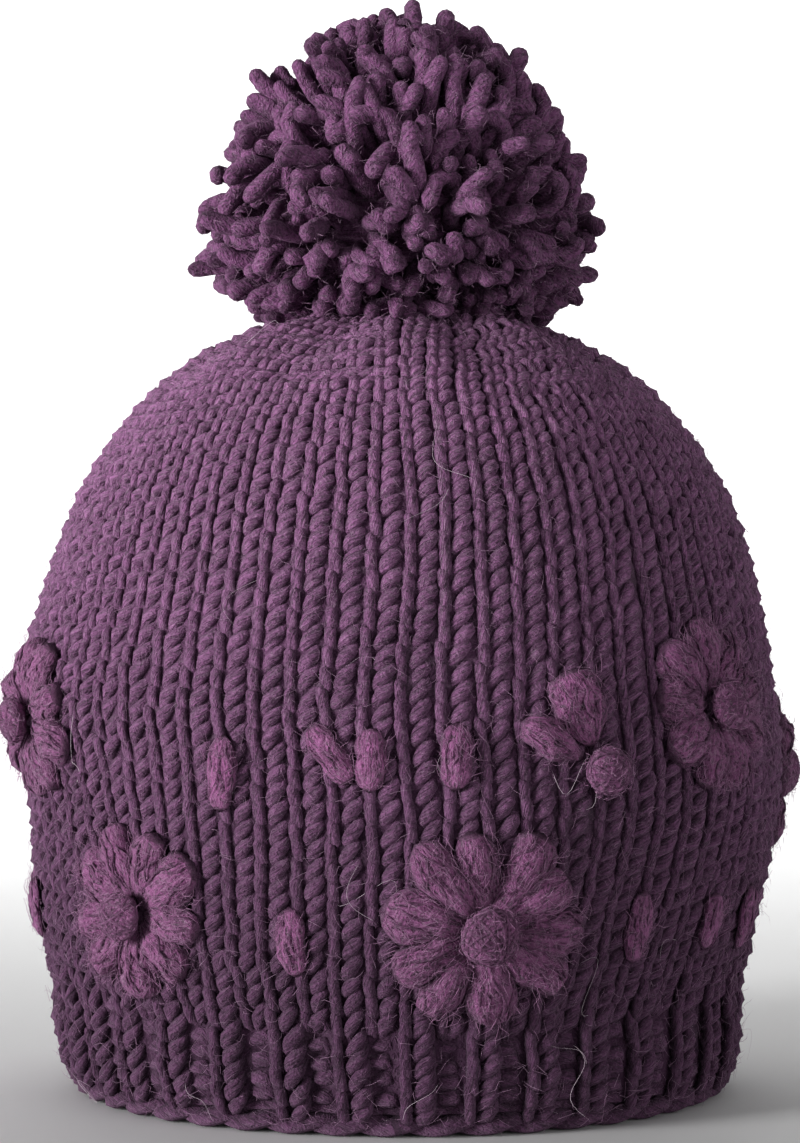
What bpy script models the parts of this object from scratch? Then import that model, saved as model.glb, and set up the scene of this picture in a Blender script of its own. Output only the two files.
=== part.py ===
"""A hand-knitted wool beanie with a ribbed band, a pompom and raised embroidered flowers.

Lengths are in metres, +Z is up and the hat stands on its rim, whose centre is the origin. The
front faces -Y. An angle round the hat is counted from the front and is positive towards +X.
"""

import math
import random
from collections import namedtuple

import bmesh
import bpy
import numpy as np
from mathutils import Matrix, Vector

# The knitted body
CROWN_WIDTH = 0.1815
CROWN_DEPTH = 0.1860
CROWN_TOP = 0.1870
CROWN_WALL = 0.0060
CROWN_COLUMNS = 48
CROWN_ROWS = 12
GATHER_COUNT = 8
GATHER_DEPTH = 0.0014
GATHER_START = 0.80
BAND_HEIGHT = 0.0260
BAND_WALL = 0.0058
BAND_WAIST = 0.38
RIB_COUNT = 36
RIB_COLUMNS = 4
RIB_DEPTH = 0.0022
UPRIGHT_ROW = 0.0012
PIECE_GAP = 0.0003

# The pompom. Its widest level is a share of its height up from its lowest point, and it sinks
# that far below the top of the crown, over which it hangs.
POMPOM_WIDTH = 0.1000
POMPOM_HEIGHT = 0.0900
POMPOM_SINK = 0.0140
POMPOM_WIDEST = 0.36
CORE_SIDES = 12
CORE_RINGS = 6
LOCK_COUNT = 48
LOCK_LENGTH = 0.0130
LOCK_WIDTH = 0.0175
LOCK_LEAN = 0.24
LOCK_SHORTEST = 0.78
LOCK_THINNEST = 0.80
LOCK_SIDES = 5
LOCK_RINGS = 4
LOCK_SEED = 4

# The embroidery
SEAT_GAP = 0.0006
PETAL_RISE = 0.0040
PETAL_DIP = 0.0014
FLOWER_RADIUS = 0.0240
BUD_RADIUS = 0.0165
KNOT_WIDTH = 0.0125
KNOT_RISE = 0.0062
STITCH_LENGTH = 0.0160
STITCH_WIDTH = 0.0056
STITCH_RISE = 0.0030

LINE_STEPS = 12
SHARP_ANGLE = 50.0

# The outside of the knit from the rim to the top. Height is a share of CROWN_TOP, width of
# CROWN_WIDTH and of CROWN_DEPTH, and shift, which is sideways, of CROWN_WIDTH.
Section = namedtuple("Section", "height width shift")
SECTIONS = (
    Section(height=0.000, width=0.842, shift=0.000),
    Section(height=0.037, width=0.890, shift=0.000),
    Section(height=0.080, width=0.908, shift=-0.002),
    Section(height=0.139, width=0.913, shift=-0.004),
    Section(height=0.182, width=0.936, shift=-0.004),
    Section(height=0.241, width=0.960, shift=-0.002),
    Section(height=0.310, width=0.979, shift=0.003),
    Section(height=0.374, width=0.991, shift=0.004),
    Section(height=0.439, width=1.000, shift=0.001),
    Section(height=0.497, width=0.998, shift=-0.004),
    Section(height=0.556, width=0.982, shift=-0.003),
    Section(height=0.620, width=0.955, shift=0.001),
    Section(height=0.684, width=0.921, shift=0.003),
    Section(height=0.749, width=0.877, shift=0.004),
    Section(height=0.802, width=0.818, shift=0.003),
    Section(height=0.856, width=0.738, shift=0.003),
    Section(height=0.906, width=0.630, shift=0.003),
    Section(height=0.949, width=0.490, shift=0.002),
    Section(height=0.981, width=0.325, shift=0.001),
    Section(height=0.997, width=0.160, shift=0.000),
    Section(height=1.000, width=0.000, shift=0.000),
)

# Soft swellings and hollows of the knit. The angles are in degrees, height and tall are shares
# of CROWN_TOP, and rise is a share of CROWN_WALL, below zero for a hollow.
Swell = namedtuple("Swell", "angle wide height tall rise")
SWELLS = (
    Swell(angle=-75, wide=24, height=0.49, tall=0.13, rise=0.25),
    Swell(angle=62, wide=26, height=0.45, tall=0.14, rise=0.30),
    Swell(angle=14, wide=22, height=0.26, tall=0.13, rise=0.20),
    Swell(angle=-16, wide=12, height=0.32, tall=0.26, rise=-0.28),
    Swell(angle=-50, wide=16, height=0.34, tall=0.09, rise=-0.20),
    Swell(angle=34, wide=12, height=0.30, tall=0.12, rise=-0.22),
    Swell(angle=-2, wide=7, height=0.90, tall=0.10, rise=-0.35),
    Swell(angle=155, wide=30, height=0.55, tall=0.20, rise=0.20),
    Swell(angle=-140, wide=22, height=0.35, tall=0.16, rise=-0.22),
)

# Whole flowers. The angles are in degrees, height is a share of CROWN_TOP and radius of
# FLOWER_RADIUS.
Flower = namedtuple("Flower", "name angle height radius petals turn")
FLOWERS = (
    Flower("flower_front", angle=12.0, height=0.250, radius=1.00, petals=10, turn=9),
    Flower("flower_left", angle=-42.0, height=0.258, radius=0.88, petals=9, turn=0),
    Flower("flower_right", angle=50.0, height=0.500, radius=0.86, petals=9, turn=14),
    Flower("flower_far_left", angle=-69.0, height=0.478, radius=0.84, petals=9, turn=6),
    Flower("flower_far_right", angle=100.0, height=0.402, radius=0.92, petals=9, turn=4),
    Flower("flower_back_right", angle=142.0, height=0.258, radius=0.94, petals=10, turn=10),
    Flower("flower_back", angle=-168.0, height=0.485, radius=0.86, petals=9, turn=18),
    Flower("flower_back_left", angle=-122.0, height=0.262, radius=0.90, petals=9, turn=2),
)

# The half-open bud: its angle in degrees, its height as a share of CROWN_TOP and the places of
# its petals, whose turn is in degrees from upright and whose length is a share of BUD_RADIUS.
BUD_ANGLE = 28.4
BUD_HEIGHT = 0.432
BUD_KNOT_SHARE = 0.90
BudPetal = namedtuple("BudPetal", "turn length width")
BUD_PETALS = (
    BudPetal(turn=-62, length=0.95, width=0.62),
    BudPetal(turn=-18, length=1.08, width=0.80),
)

# Single loose stitches. Angle and turn, which leans them from upright, are in degrees, height is
# a share of CROWN_TOP, and length of STITCH_LENGTH.
Stitch = namedtuple("Stitch", "angle height length turn")
STITCHES = (
    Stitch(angle=-9.6, height=0.452, length=0.95, turn=-32),
    Stitch(angle=-4.0, height=0.446, length=0.90, turn=8),
    Stitch(angle=7.6, height=0.450, length=0.95, turn=8),
    Stitch(angle=-25.6, height=0.428, length=1.10, turn=10),
    Stitch(angle=-15.6, height=0.232, length=1.00, turn=-6),
    Stitch(angle=37.4, height=0.242, length=1.05, turn=2),
    Stitch(angle=53.5, height=0.240, length=0.85, turn=2),
    Stitch(angle=66.0, height=0.236, length=1.00, turn=0),
    Stitch(angle=-76.0, height=0.240, length=0.95, turn=0),
    Stitch(angle=116.0, height=0.250, length=1.00, turn=6),
    Stitch(angle=124.0, height=0.450, length=0.95, turn=-8),
    Stitch(angle=152.0, height=0.444, length=1.00, turn=6),
    Stitch(angle=168.0, height=0.246, length=0.90, turn=-5),
    Stitch(angle=-149.0, height=0.252, length=1.00, turn=6),
    Stitch(angle=-140.0, height=0.444, length=1.00, turn=-6),
    Stitch(angle=-104.0, height=0.436, length=0.90, turn=4),
    Stitch(angle=-94.0, height=0.246, length=0.95, turn=-4),
)

# Across the rows: how far up a petal each ring of a flower lies, as a share of its radius, and
# how high it stands on a petal's back, as a share of the rise.
PetalRing = namedtuple("PetalRing", "out back")
PETAL_RINGS = (
    PetalRing(out=0.30, back=0.62),
    PetalRing(out=0.66, back=1.00),
    PetalRing(out=0.92, back=0.72),
)
PETAL_STEPS = 4
PETAL_NOTCH = 0.30
UNDER_RING = 0.5
KNOT_SIDES = 8
KNOT_RINGS = 4
LEAF_SIDES = 6
LEAF_RINGS = 3
LEAF_FULLNESS = 0.6
LEAF_TIP = 0.3


def clear_scene():
    """Removes every object, so that only the hat is in the scene."""
    for old in list(bpy.data.objects):
        bpy.data.objects.remove(old)


def new_collection(name):
    collection = bpy.data.collections.new(name)
    bpy.context.scene.collection.children.link(collection)
    return collection


def new_object(name, bm, collection, material=None):
    """Turns a bmesh into a smooth-shaded object with its faces pointing out."""
    bmesh.ops.recalc_face_normals(bm, faces=bm.faces)
    mesh = bpy.data.meshes.new(name)
    bm.to_mesh(mesh)
    bm.free()
    mesh.shade_smooth()
    mesh.set_sharp_from_angle(angle=math.radians(SHARP_ANGLE))
    if material:
        mesh.materials.append(material)
    obj = bpy.data.objects.new(name, mesh)
    collection.objects.link(obj)
    return obj


def wool(name, colour, roughness):
    """A plain wool finish."""
    material = bpy.data.materials.new(name)
    material.use_nodes = True
    shader = material.node_tree.nodes["Principled BSDF"]
    shader.inputs["Base Color"].default_value = (*colour, 1.0)
    shader.inputs["Roughness"].default_value = roughness
    shader.inputs["Metallic"].default_value = 0.0
    return material


def catmull_rom(before, start, end, after, share):
    """The smooth curve through start and end, at a share of the way between them."""
    square = share * share
    cube = square * share
    return 0.5 * (
        2 * start
        + (end - before) * share
        + (2 * before - 5 * start + 4 * end - after) * square
        + (3 * start - before - 3 * end + after) * cube
    )


def outside_line():
    """Columns along, width, height, shift, out and up of the knit's outside, close together.

    Along is the distance from the rim, in the middle of the hat's width and depth. Out and up
    are the parts of the direction that faces away from the knit.
    """
    table = np.array(SECTIONS)
    padded = np.vstack([2 * table[0] - table[1], table, 2 * table[-1] - table[-2]])
    points = [
        catmull_rom(*padded[i : i + 4], step / LINE_STEPS)
        for i in range(len(table) - 1)
        for step in range(LINE_STEPS)
    ]
    points = np.array([*points, table[-1]])
    height, width, shift = points.T
    height = height * CROWN_TOP
    radius = width * (CROWN_WIDTH + CROWN_DEPTH) / 4
    steps = np.hypot(np.diff(radius), np.diff(height))
    along = np.concatenate([[0.0], np.cumsum(steps)])
    across = np.gradient(radius, along)
    rise = np.gradient(height, along)
    size = np.hypot(across, rise)
    return along, width, height, shift * CROWN_WIDTH, rise / size, -across / size


ALONG, WIDTH, HEIGHT, SHIFT, OUT, UP = outside_line()
WHOLE_WAY = ALONG[-1]


def along_at(height):
    """The distance from the rim, over the knit, at which its outside reaches that height."""
    return float(np.interp(height, HEIGHT, ALONG))


def swelling(angle, height):
    """How far the knit swells out at that angle, in radians, and height."""
    total = 0.0
    for swell in SWELLS:
        turned = math.degrees(angle) - swell.angle
        turned = (turned + 180) % 360 - 180
        sideways = (turned / swell.wide) ** 2
        upwards = ((height / CROWN_TOP - swell.height) / swell.tall) ** 2
        total += swell.rise * CROWN_WALL * math.exp(-sideways - upwards)
    return total


def gathering(angle, along):
    """The soft folds that are drawn together under the pompom."""
    start = along_at(GATHER_START * CROWN_TOP)
    share = min(max((along - start) / (WHOLE_WAY - start), 0.0), 1.0)
    strength = math.sin(math.pi * share) ** 2
    return GATHER_DEPTH * strength * math.cos(GATHER_COUNT * angle)


def knit_point(angle, along, lift=0.0):
    """The point of the knit's outside at an angle and a distance up from the rim, plus lift."""
    width, height, shift, out, up = (
        float(np.interp(along, ALONG, column)) for column in (WIDTH, HEIGHT, SHIFT, OUT, UP)
    )
    lift += swelling(angle, height) * width + gathering(angle, along)
    side = CROWN_WIDTH / 2 * width + lift * out
    front = CROWN_DEPTH / 2 * width + lift * out
    return Vector(
        (side * math.sin(angle) + shift, -front * math.cos(angle), height + lift * up)
    )


def around(place, right, upward, lift=0.0):
    """The point of the knit that lies right and upward of a place, measured over the knit.

    A place is an angle and a distance up from the rim.
    """
    angle, along = place
    width = float(np.interp(along, ALONG, WIDTH))
    radius = width * (CROWN_WIDTH + CROWN_DEPTH) / 4
    return knit_point(angle + right / radius, along + upward, lift)


def place_of(angle, height):
    """The place of an angle in degrees and a height as a share of CROWN_TOP."""
    return math.radians(angle), along_at(height * CROWN_TOP)


def bridge(bm, rings):
    """Joins rings of points, one after the other. A ring of one point closes to it."""
    made = [[bm.verts.new(point) for point in ring] for ring in rings]
    for lower, upper in zip(made, made[1:]):
        count = max(len(lower), len(upper))
        for i in range(count):
            j = (i + 1) % count
            if len(lower) == 1:
                bm.faces.new((lower[0], upper[j], upper[i]))
            elif len(upper) == 1:
                bm.faces.new((lower[i], lower[j], upper[0]))
            else:
                bm.faces.new((lower[i], lower[j], upper[j], upper[i]))
    return made


def thicken(obj, wall):
    """Gives an open surface its wall, inwards."""
    solidify = obj.modifiers.new("wall", "SOLIDIFY")
    solidify.thickness = wall
    solidify.offset = -1.0


def turns(count):
    """The angles of a ring of points, from the front."""
    return [math.tau * i / count for i in range(count)]


def crown_rows(first):
    """The distances from the rim of the crown's rings, from its lower edge to below the top."""
    step = (WHOLE_WAY - first) / CROWN_ROWS
    return [first + step * row for row in range(1, CROWN_ROWS)]


def make_crown(collection, material):
    """The stocking-stitch dome, whose lowest row stands upright so that its edge is flat."""
    bottom = BAND_HEIGHT + PIECE_GAP / 2
    first = along_at(bottom + UPRIGHT_ROW)
    edge = [knit_point(angle, first) for angle in turns(CROWN_COLUMNS)]
    rings = [[Vector((p.x, p.y, bottom)) for p in edge]]
    rings.append([Vector((p.x, p.y, bottom + UPRIGHT_ROW)) for p in edge])
    for along in crown_rows(first):
        rings.append([knit_point(angle, along) for angle in turns(CROWN_COLUMNS)])
    rings.append([knit_point(0.0, WHOLE_WAY)])
    bm = bmesh.new()
    bridge(bm, rings)
    crown = new_object("crown", bm, collection, material)
    thicken(crown, CROWN_WALL)
    return crown


def rib_point(angle, along, height, sunk):
    """A point of the band's outside: on the knit's outside, or sunk by the rib's depth."""
    point = knit_point(angle, along, -RIB_DEPTH if sunk else 0.0)
    return Vector((point.x, point.y, height))


def make_band(collection, material):
    """The ribbed band. Half the columns of each rib are a ridge, and the rest a furrow."""
    top = BAND_HEIGHT - PIECE_GAP / 2
    levels = [UPRIGHT_ROW, BAND_WAIST * BAND_HEIGHT, top - UPRIGHT_ROW]
    heights = [0.0, *levels, top]
    rings = []
    for height, level in zip(heights, [levels[0], *levels, levels[-1]]):
        ring = []
        for rib in range(RIB_COUNT):
            for column in range(RIB_COLUMNS):
                angle = math.tau * (rib + (column + 0.5) / RIB_COLUMNS) / RIB_COUNT
                sunk = column >= RIB_COLUMNS / 2
                ring.append(rib_point(angle, along_at(level), height, sunk))
        rings.append(ring)
    bm = bmesh.new()
    bridge(bm, rings)
    band = new_object("rib_band", bm, collection, material)
    thicken(band, BAND_WALL)
    return band


def make_seat_cutter(collection):
    """A solid of the crown's outside, a gap larger, that shapes what sits on it."""
    first = along_at(BAND_HEIGHT)
    rings = [[Vector((0.0, 0.0, BAND_HEIGHT))]]
    for along in [first, *crown_rows(first)]:
        ring = [knit_point(angle, along, PIECE_GAP) for angle in turns(CROWN_COLUMNS)]
        rings.append(ring)
    rings.append([knit_point(0.0, WHOLE_WAY, PIECE_GAP)])
    bm = bmesh.new()
    bridge(bm, rings)
    cutter = new_object("crown_seat", bm, collection)
    cutter.hide_render = True
    cutter.display_type = "WIRE"
    return cutter


def even_directions(count):
    """Directions spread evenly over a ball, on a spiral from the top to the bottom."""
    golden = math.pi * (3 - math.sqrt(5))
    for i in range(count):
        up = 1 - 2 * (i + 0.5) / count
        side = math.sqrt(1 - up * up)
        yield Vector((side * math.cos(golden * i), side * math.sin(golden * i), up))


def core_point(direction):
    """The point of the pompom's core in that direction: flatter below its widest level."""
    lowest = CROWN_TOP - POMPOM_SINK
    widest = lowest + POMPOM_WIDEST * POMPOM_HEIGHT
    above = lowest + POMPOM_HEIGHT - widest - LOCK_LENGTH
    below = widest - lowest - LOCK_LENGTH
    side = POMPOM_WIDTH / 2 - LOCK_LENGTH
    rise = above if direction.z > 0 else below
    return Vector((side * direction.x, side * direction.y, widest + rise * direction.z))


def make_core():
    """The pompom's core, without its locks."""
    bm = bmesh.new()
    bmesh.ops.create_uvsphere(bm, u_segments=CORE_SIDES, v_segments=CORE_RINGS, radius=1.0)
    for vert in bm.verts:
        vert.co = core_point(vert.co)
    return bm


def make_locks(collection):
    """The pompom's locks of yarn, each a long ball that stands out of the core."""
    chance = random.Random(LOCK_SEED)
    bm = bmesh.new()
    for direction in even_directions(LOCK_COUNT):
        lean = Vector(chance.uniform(-LOCK_LEAN, LOCK_LEAN) for _ in range(3))
        heading = (direction + lean).normalized()
        reach = LOCK_LENGTH * chance.uniform(LOCK_SHORTEST, 1.0)
        thick = LOCK_WIDTH / 2 * chance.uniform(LOCK_THINNEST, 1.0)
        stand = heading.to_track_quat("Z", "Y").to_matrix().to_4x4()
        place = Matrix.Translation(core_point(direction)) @ stand
        size = Matrix.Diagonal((thick, thick, reach, 1.0))
        bmesh.ops.create_uvsphere(
            bm,
            u_segments=LOCK_SIDES,
            v_segments=LOCK_RINGS,
            radius=1.0,
            matrix=place @ size,
        )
    locks = new_object("pompom_locks", bm, collection)
    locks.hide_render = True
    locks.display_type = "WIRE"
    return locks


def make_pompom(collection, helpers, seat, material):
    """The ball of yarn: a core with its locks fused to it, seated on the top of the crown."""
    pompom = new_object("pompom", make_core(), collection, material)
    fuse = pompom.modifiers.new("fuse_locks", "BOOLEAN")
    fuse.operation = "UNION"
    fuse.use_self = True
    fuse.object = make_locks(helpers)
    cut = pompom.modifiers.new("seat", "BOOLEAN")
    cut.operation = "DIFFERENCE"
    cut.object = seat
    return pompom


def petal_wave(share, petals):
    """1 in the middle of a petal and 0 between two petals, at a share of the way round."""
    return abs(math.sin(math.pi * petals * share))


def flower_ring(place, radius, flower, out, height):
    """A ring of a flower's points. Height gives the lift from how far on a petal's back it is."""
    ring = []
    count = flower.petals * PETAL_STEPS
    for i in range(count):
        share = i / count
        wave = petal_wave(share, flower.petals)
        reach = radius * out * (1 - PETAL_NOTCH * (1 - wave) * out)
        turn = math.tau * share + math.radians(flower.turn)
        ring.append(
            around(place, reach * math.sin(turn), reach * math.cos(turn), height(wave))
        )
    return ring


def make_petals(flower, collection, material):
    """The petals of a flower, which meet under its knot: a lobed pad that lies on the knit."""
    place = place_of(flower.angle, flower.height)
    radius = FLOWER_RADIUS * flower.radius
    rings = [[around(place, 0.0, 0.0, SEAT_GAP + PETAL_DIP)]]
    for row in PETAL_RINGS:
        rings.append(
            flower_ring(
                place,
                radius,
                flower,
                row.out,
                lambda wave: SEAT_GAP
                + PETAL_DIP
                + (PETAL_RISE * row.back - PETAL_DIP) * wave,
            )
        )
    for out in (1.0, UNDER_RING):
        rings.append(flower_ring(place, radius, flower, out, lambda wave: SEAT_GAP))
    rings.append([around(place, 0.0, 0.0, SEAT_GAP)])
    bm = bmesh.new()
    bridge(bm, rings)
    return new_object(flower.name + "_petals", bm, collection, material)


def make_knot(name, place, width, base, collection, material):
    """A wound knot: a flattened ball that stands on the knit or on the petals under it."""
    foot = around(place, 0.0, 0.0, base)
    outward = (around(place, 0.0, 0.0, 2 * base + width) - foot).normalized()
    rise = KNOT_RISE * width / KNOT_WIDTH
    stand = outward.to_track_quat("Z", "Y").to_matrix().to_4x4()
    move = Matrix.Translation(foot + outward * rise / 2)
    size = Matrix.Diagonal((width / 2, width / 2, rise / 2, 1.0))
    bm = bmesh.new()
    bmesh.ops.create_uvsphere(
        bm,
        u_segments=KNOT_SIDES,
        v_segments=KNOT_RINGS,
        radius=1.0,
        matrix=move @ stand @ size,
    )
    return new_object(name, bm, collection, material)


def make_leaf(name, place, turn, ends, size, collection, material):
    """A single raised stitch: a spindle that lies on the knit, flat underneath.

    Turn leans it from upright, in degrees. Ends are where it starts and stops, measured from
    the place along the lean, and size is its width and rise.
    """
    lean = math.radians(turn)
    start, stop = ends
    width, rise = size

    def at(share, side, lift):
        forward = start + (stop - start) * share
        right = forward * math.sin(lean) + side * math.cos(lean)
        upward = forward * math.cos(lean) - side * math.sin(lean)
        return around(place, right, upward, SEAT_GAP + lift)

    rings = [[at(0.0, 0.0, rise * LEAF_TIP)]]
    for ring in range(1, LEAF_RINGS + 1):
        share = ring / (LEAF_RINGS + 1)
        swell = math.sin(math.pi * share) ** LEAF_FULLNESS
        points = []
        for i in range(LEAF_SIDES):
            turned = math.tau * (i + 0.5) / LEAF_SIDES
            side = width / 2 * swell * math.cos(turned)
            points.append(at(share, side, max(0.0, rise * swell * math.sin(turned))))
        rings.append(points)
    rings.append([at(1.0, 0.0, rise * LEAF_TIP)])
    bm = bmesh.new()
    bridge(bm, rings)
    return new_object(name, bm, collection, material)


def make_flower(flower, collection, material):
    """A whole flower: its petals, and the knot in their middle."""
    make_petals(flower, collection, material)
    place = place_of(flower.angle, flower.height)
    base = SEAT_GAP + PETAL_DIP + SEAT_GAP
    width = KNOT_WIDTH * flower.radius
    make_knot(flower.name + "_knot", place, width, base, collection, material)


def make_bud(collection, material):
    """The half-open bud: petals that rise from beside one knot."""
    place = place_of(BUD_ANGLE, BUD_HEIGHT)
    width = KNOT_WIDTH * BUD_KNOT_SHARE
    make_knot("bud_knot", place, width, SEAT_GAP, collection, material)
    for number, petal in enumerate(BUD_PETALS, 1):
        start = width / 2 + SEAT_GAP
        ends = (start, start + BUD_RADIUS * petal.length)
        size = (BUD_RADIUS * petal.width, PETAL_RISE)
        make_leaf(f"bud_petal_{number}", place, petal.turn, ends, size, collection, material)


def make_stitches(collection, material):
    """The loose stitches that are scattered between the flowers."""
    for number, stitch in enumerate(STITCHES, 1):
        place = place_of(stitch.angle, stitch.height)
        half = STITCH_LENGTH * stitch.length / 2
        size = (STITCH_WIDTH, STITCH_RISE)
        name = f"loose_stitch_{number:02d}"
        make_leaf(name, place, stitch.turn, (-half, half), size, collection, material)


def main():
    clear_scene()
    hat = new_collection("beanie")
    helpers = new_collection("helpers")
    knit_wool = wool("knit_wool", (0.105, 0.046, 0.094), 0.92)
    pompom_wool = wool("pompom_wool", (0.098, 0.040, 0.088), 0.94)
    flower_wool = wool("flower_wool", (0.150, 0.055, 0.130), 0.95)
    make_crown(hat, knit_wool)
    make_band(hat, knit_wool)
    seat = make_seat_cutter(helpers)
    make_pompom(hat, helpers, seat, pompom_wool)
    for flower in FLOWERS:
        make_flower(flower, hat, flower_wool)
    make_bud(hat, flower_wool)
    make_stitches(hat, flower_wool)


main()
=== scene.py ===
"""The knitted beanie's looks: its yarn, pompom, embroidery and fuzz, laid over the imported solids.

Lengths are in metres. An angle round the hat is counted from the front, -Y, and is positive
towards +X, and along is the distance from the rim over the knit.
"""

import math
from collections import namedtuple

import bpy
import numpy as np
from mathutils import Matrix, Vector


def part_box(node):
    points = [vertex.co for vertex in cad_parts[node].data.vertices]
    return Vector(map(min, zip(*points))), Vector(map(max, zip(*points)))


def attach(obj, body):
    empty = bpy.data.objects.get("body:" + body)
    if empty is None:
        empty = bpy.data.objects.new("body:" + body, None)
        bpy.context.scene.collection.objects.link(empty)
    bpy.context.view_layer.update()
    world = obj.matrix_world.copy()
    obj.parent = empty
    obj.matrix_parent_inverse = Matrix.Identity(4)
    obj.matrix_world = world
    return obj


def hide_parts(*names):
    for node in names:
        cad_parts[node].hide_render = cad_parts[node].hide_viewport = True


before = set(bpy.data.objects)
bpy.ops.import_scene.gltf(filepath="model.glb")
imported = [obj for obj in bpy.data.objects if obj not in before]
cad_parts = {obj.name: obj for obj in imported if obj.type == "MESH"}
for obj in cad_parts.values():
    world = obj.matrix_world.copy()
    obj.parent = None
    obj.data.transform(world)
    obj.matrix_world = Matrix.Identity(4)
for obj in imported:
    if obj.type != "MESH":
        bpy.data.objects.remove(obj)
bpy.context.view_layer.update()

TAU = math.tau

# The knit's outside, as in the solids
CROWN_WIDTH = 0.1815
CROWN_DEPTH = 0.1860
CROWN_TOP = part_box("crown")[1].z
CROWN_WALL = 0.0060
GATHER_COUNT = 8
GATHER_DEPTH = 0.0014
GATHER_START = 0.80
LINE_STEPS = 12
MEAN_RADIUS = (CROWN_WIDTH + CROWN_DEPTH) / 4

# Height, width and shift as shares of the crown's, from the rim to the top
SECTIONS = (
    (0.000, 0.842, 0.000),
    (0.037, 0.890, 0.000),
    (0.080, 0.908, -0.002),
    (0.139, 0.913, -0.004),
    (0.182, 0.936, -0.004),
    (0.241, 0.960, -0.002),
    (0.310, 0.979, 0.003),
    (0.374, 0.991, 0.004),
    (0.439, 1.000, 0.001),
    (0.497, 0.998, -0.004),
    (0.556, 0.982, -0.003),
    (0.620, 0.955, 0.001),
    (0.684, 0.921, 0.003),
    (0.749, 0.877, 0.004),
    (0.802, 0.818, 0.003),
    (0.856, 0.738, 0.003),
    (0.906, 0.630, 0.003),
    (0.949, 0.490, 0.002),
    (0.981, 0.325, 0.001),
    (0.997, 0.160, 0.000),
    (1.000, 0.000, 0.000),
)

# Soft swells: angle and breadth in degrees, height and tallness as shares of the crown's
# height, and rise as a share of its wall
SWELLS = (
    (-75, 24, 0.49, 0.13, 0.25),
    (62, 26, 0.45, 0.14, 0.30),
    (14, 22, 0.26, 0.13, 0.20),
    (-16, 12, 0.32, 0.26, -0.28),
    (-50, 16, 0.34, 0.09, -0.20),
    (34, 12, 0.30, 0.12, -0.22),
    (-2, 7, 0.90, 0.10, -0.35),
    (155, 30, 0.55, 0.20, 0.20),
    (-140, 22, 0.35, 0.16, -0.22),
)

# The knitting: 72 stitches round, in eight wedges that narrow towards the top
YARN = 0.00140
ROW = 0.00426
FIRST_ROW = 0.0038
BAND_ROWS = 5
WEDGES = 8
WEDGE_STITCHES = 9
TIGHT_STITCH = 0.0055
TOP_RADIUS = 0.0160
MIDDLE_DEPTH = 2.10 * YARN
RIBS = 36
FLOOR_GAP = 0.0003
FRONT_SPREAD = 0.11
SPREAD_START = 0.024
SPREAD_RISE = 0.045
RIB_OUT = 0.0005
RIB_WIDE = 1.14
FURROW_WIDE = 0.98
FURROW_DEPTHS = (0.0018, 0.0020, 0.0020, 0.0020, 0.0018, 0.0011, 0.0004)
YARN_SIDES = 6
PIECE_ROWS = (15, 14, 40)

# One stitch of yarn: across in stitch widths, up in rows, out and thick in yarn radii
LOOP = (
    (0.30, -0.34, -0.80, 0.70),
    (0.20, 0.02, 0.86, 0.92),
    (0.17, 0.50, 1.20, 1.02),
    (0.15, 0.98, 1.02, 0.95),
    (0.18, 1.38, -0.35, 0.78),
    (0.50, 1.60, -1.15, 0.76),
    (0.85, 1.42, -0.90, 0.80),
    (0.87, 1.06, 0.28, 1.02),
    (0.68, 0.56, 1.22, 1.30),
    (0.49, 0.06, 0.38, 1.02),
    (0.50, -0.34, -0.90, 0.78),
    (0.95, -0.56, -1.25, 0.74),
)

# Where along the loop's points the yarn has its rings, most of them on the legs in front
LOOP_RINGS = (0.3, 1.1, 1.9, 2.7, 3.6, 5.1, 6.5, 7.4, 8.2, 9.0, 9.9, 11.2)

# A purl stitch, whose arc and ends lie in front
PURL_LOOP = (
    (0.08, -0.34, -0.10, 1.00),
    (0.20, -0.02, -0.80, 0.90),
    (0.17, 0.40, -1.00, 0.84),
    (0.14, 0.84, -0.90, 0.84),
    (0.17, 1.00, -0.10, 1.00),
    (0.26, 1.30, 0.66, 1.32),
    (0.52, 1.50, 0.98, 1.44),
    (0.78, 1.28, 0.60, 1.32),
    (0.86, 0.96, -0.15, 1.00),
    (0.84, 0.62, -1.00, 0.84),
    (0.80, 0.02, -0.80, 0.90),
    (0.94, -0.34, -0.10, 1.00),
)

# How far the plies run along the yarn in one turn, the pale hairs' colour, and the heights
# between which the painted shade low on the hat fades out
PLY_TWIST = 0.015
PALE_WOOL = (0.42, 0.30, 0.39)
LOW_SHADE_HEIGHTS = (0.040, 0.165)

# Uneven knitting: slow waves over the knit, each with its waves round the hat, its turn up it,
# its start and its size, and small slips of each stitch
WAVES = (
    (3, 31.0, 0.4, 0.00050),
    (5, -52.0, 2.1, 0.00038),
    (9, 74.0, 4.0, 0.00026),
    (16, -95.0, 1.2, 0.00018),
)
STITCH_SLIP = 0.00026
PURL_SLIP = 1.5
OUT_SLIP = 0.7
THICK_SLIP = 190

# The felted inside of the knit, which closes its gaps and shows dark in them with painted shade
FELT_OUT = 0.94 * YARN
FELT_SUNK = 0.0002
FELT_THICK = 0.0012
FELT_SIDES = 144
FELT_STEP = 0.0100
FELT_START = 0.0032
FELT_TOP = 0.999
FELT_GROWTH = 1.5
FELT_FIRST_ROW = 1.4

# The cast-on edge: two plies of yarn twisted round each other, and a third over them
CAST_ON_TURNS = 22
CAST_ON_YARN = 0.00180
CAST_ON_APART = 0.00090
CAST_ON_SAMPLES = 18
CAST_ON_LIFT = 0.0002
CAST_ON_DEPTH = 1.75
CAST_ON_SWING = 1.6
CAST_ON_FULL = 0.20
OVER_LEVEL = 1.75
OVER_DEPTH = 2.5
OVER_WAVE = 0.0004

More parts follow.
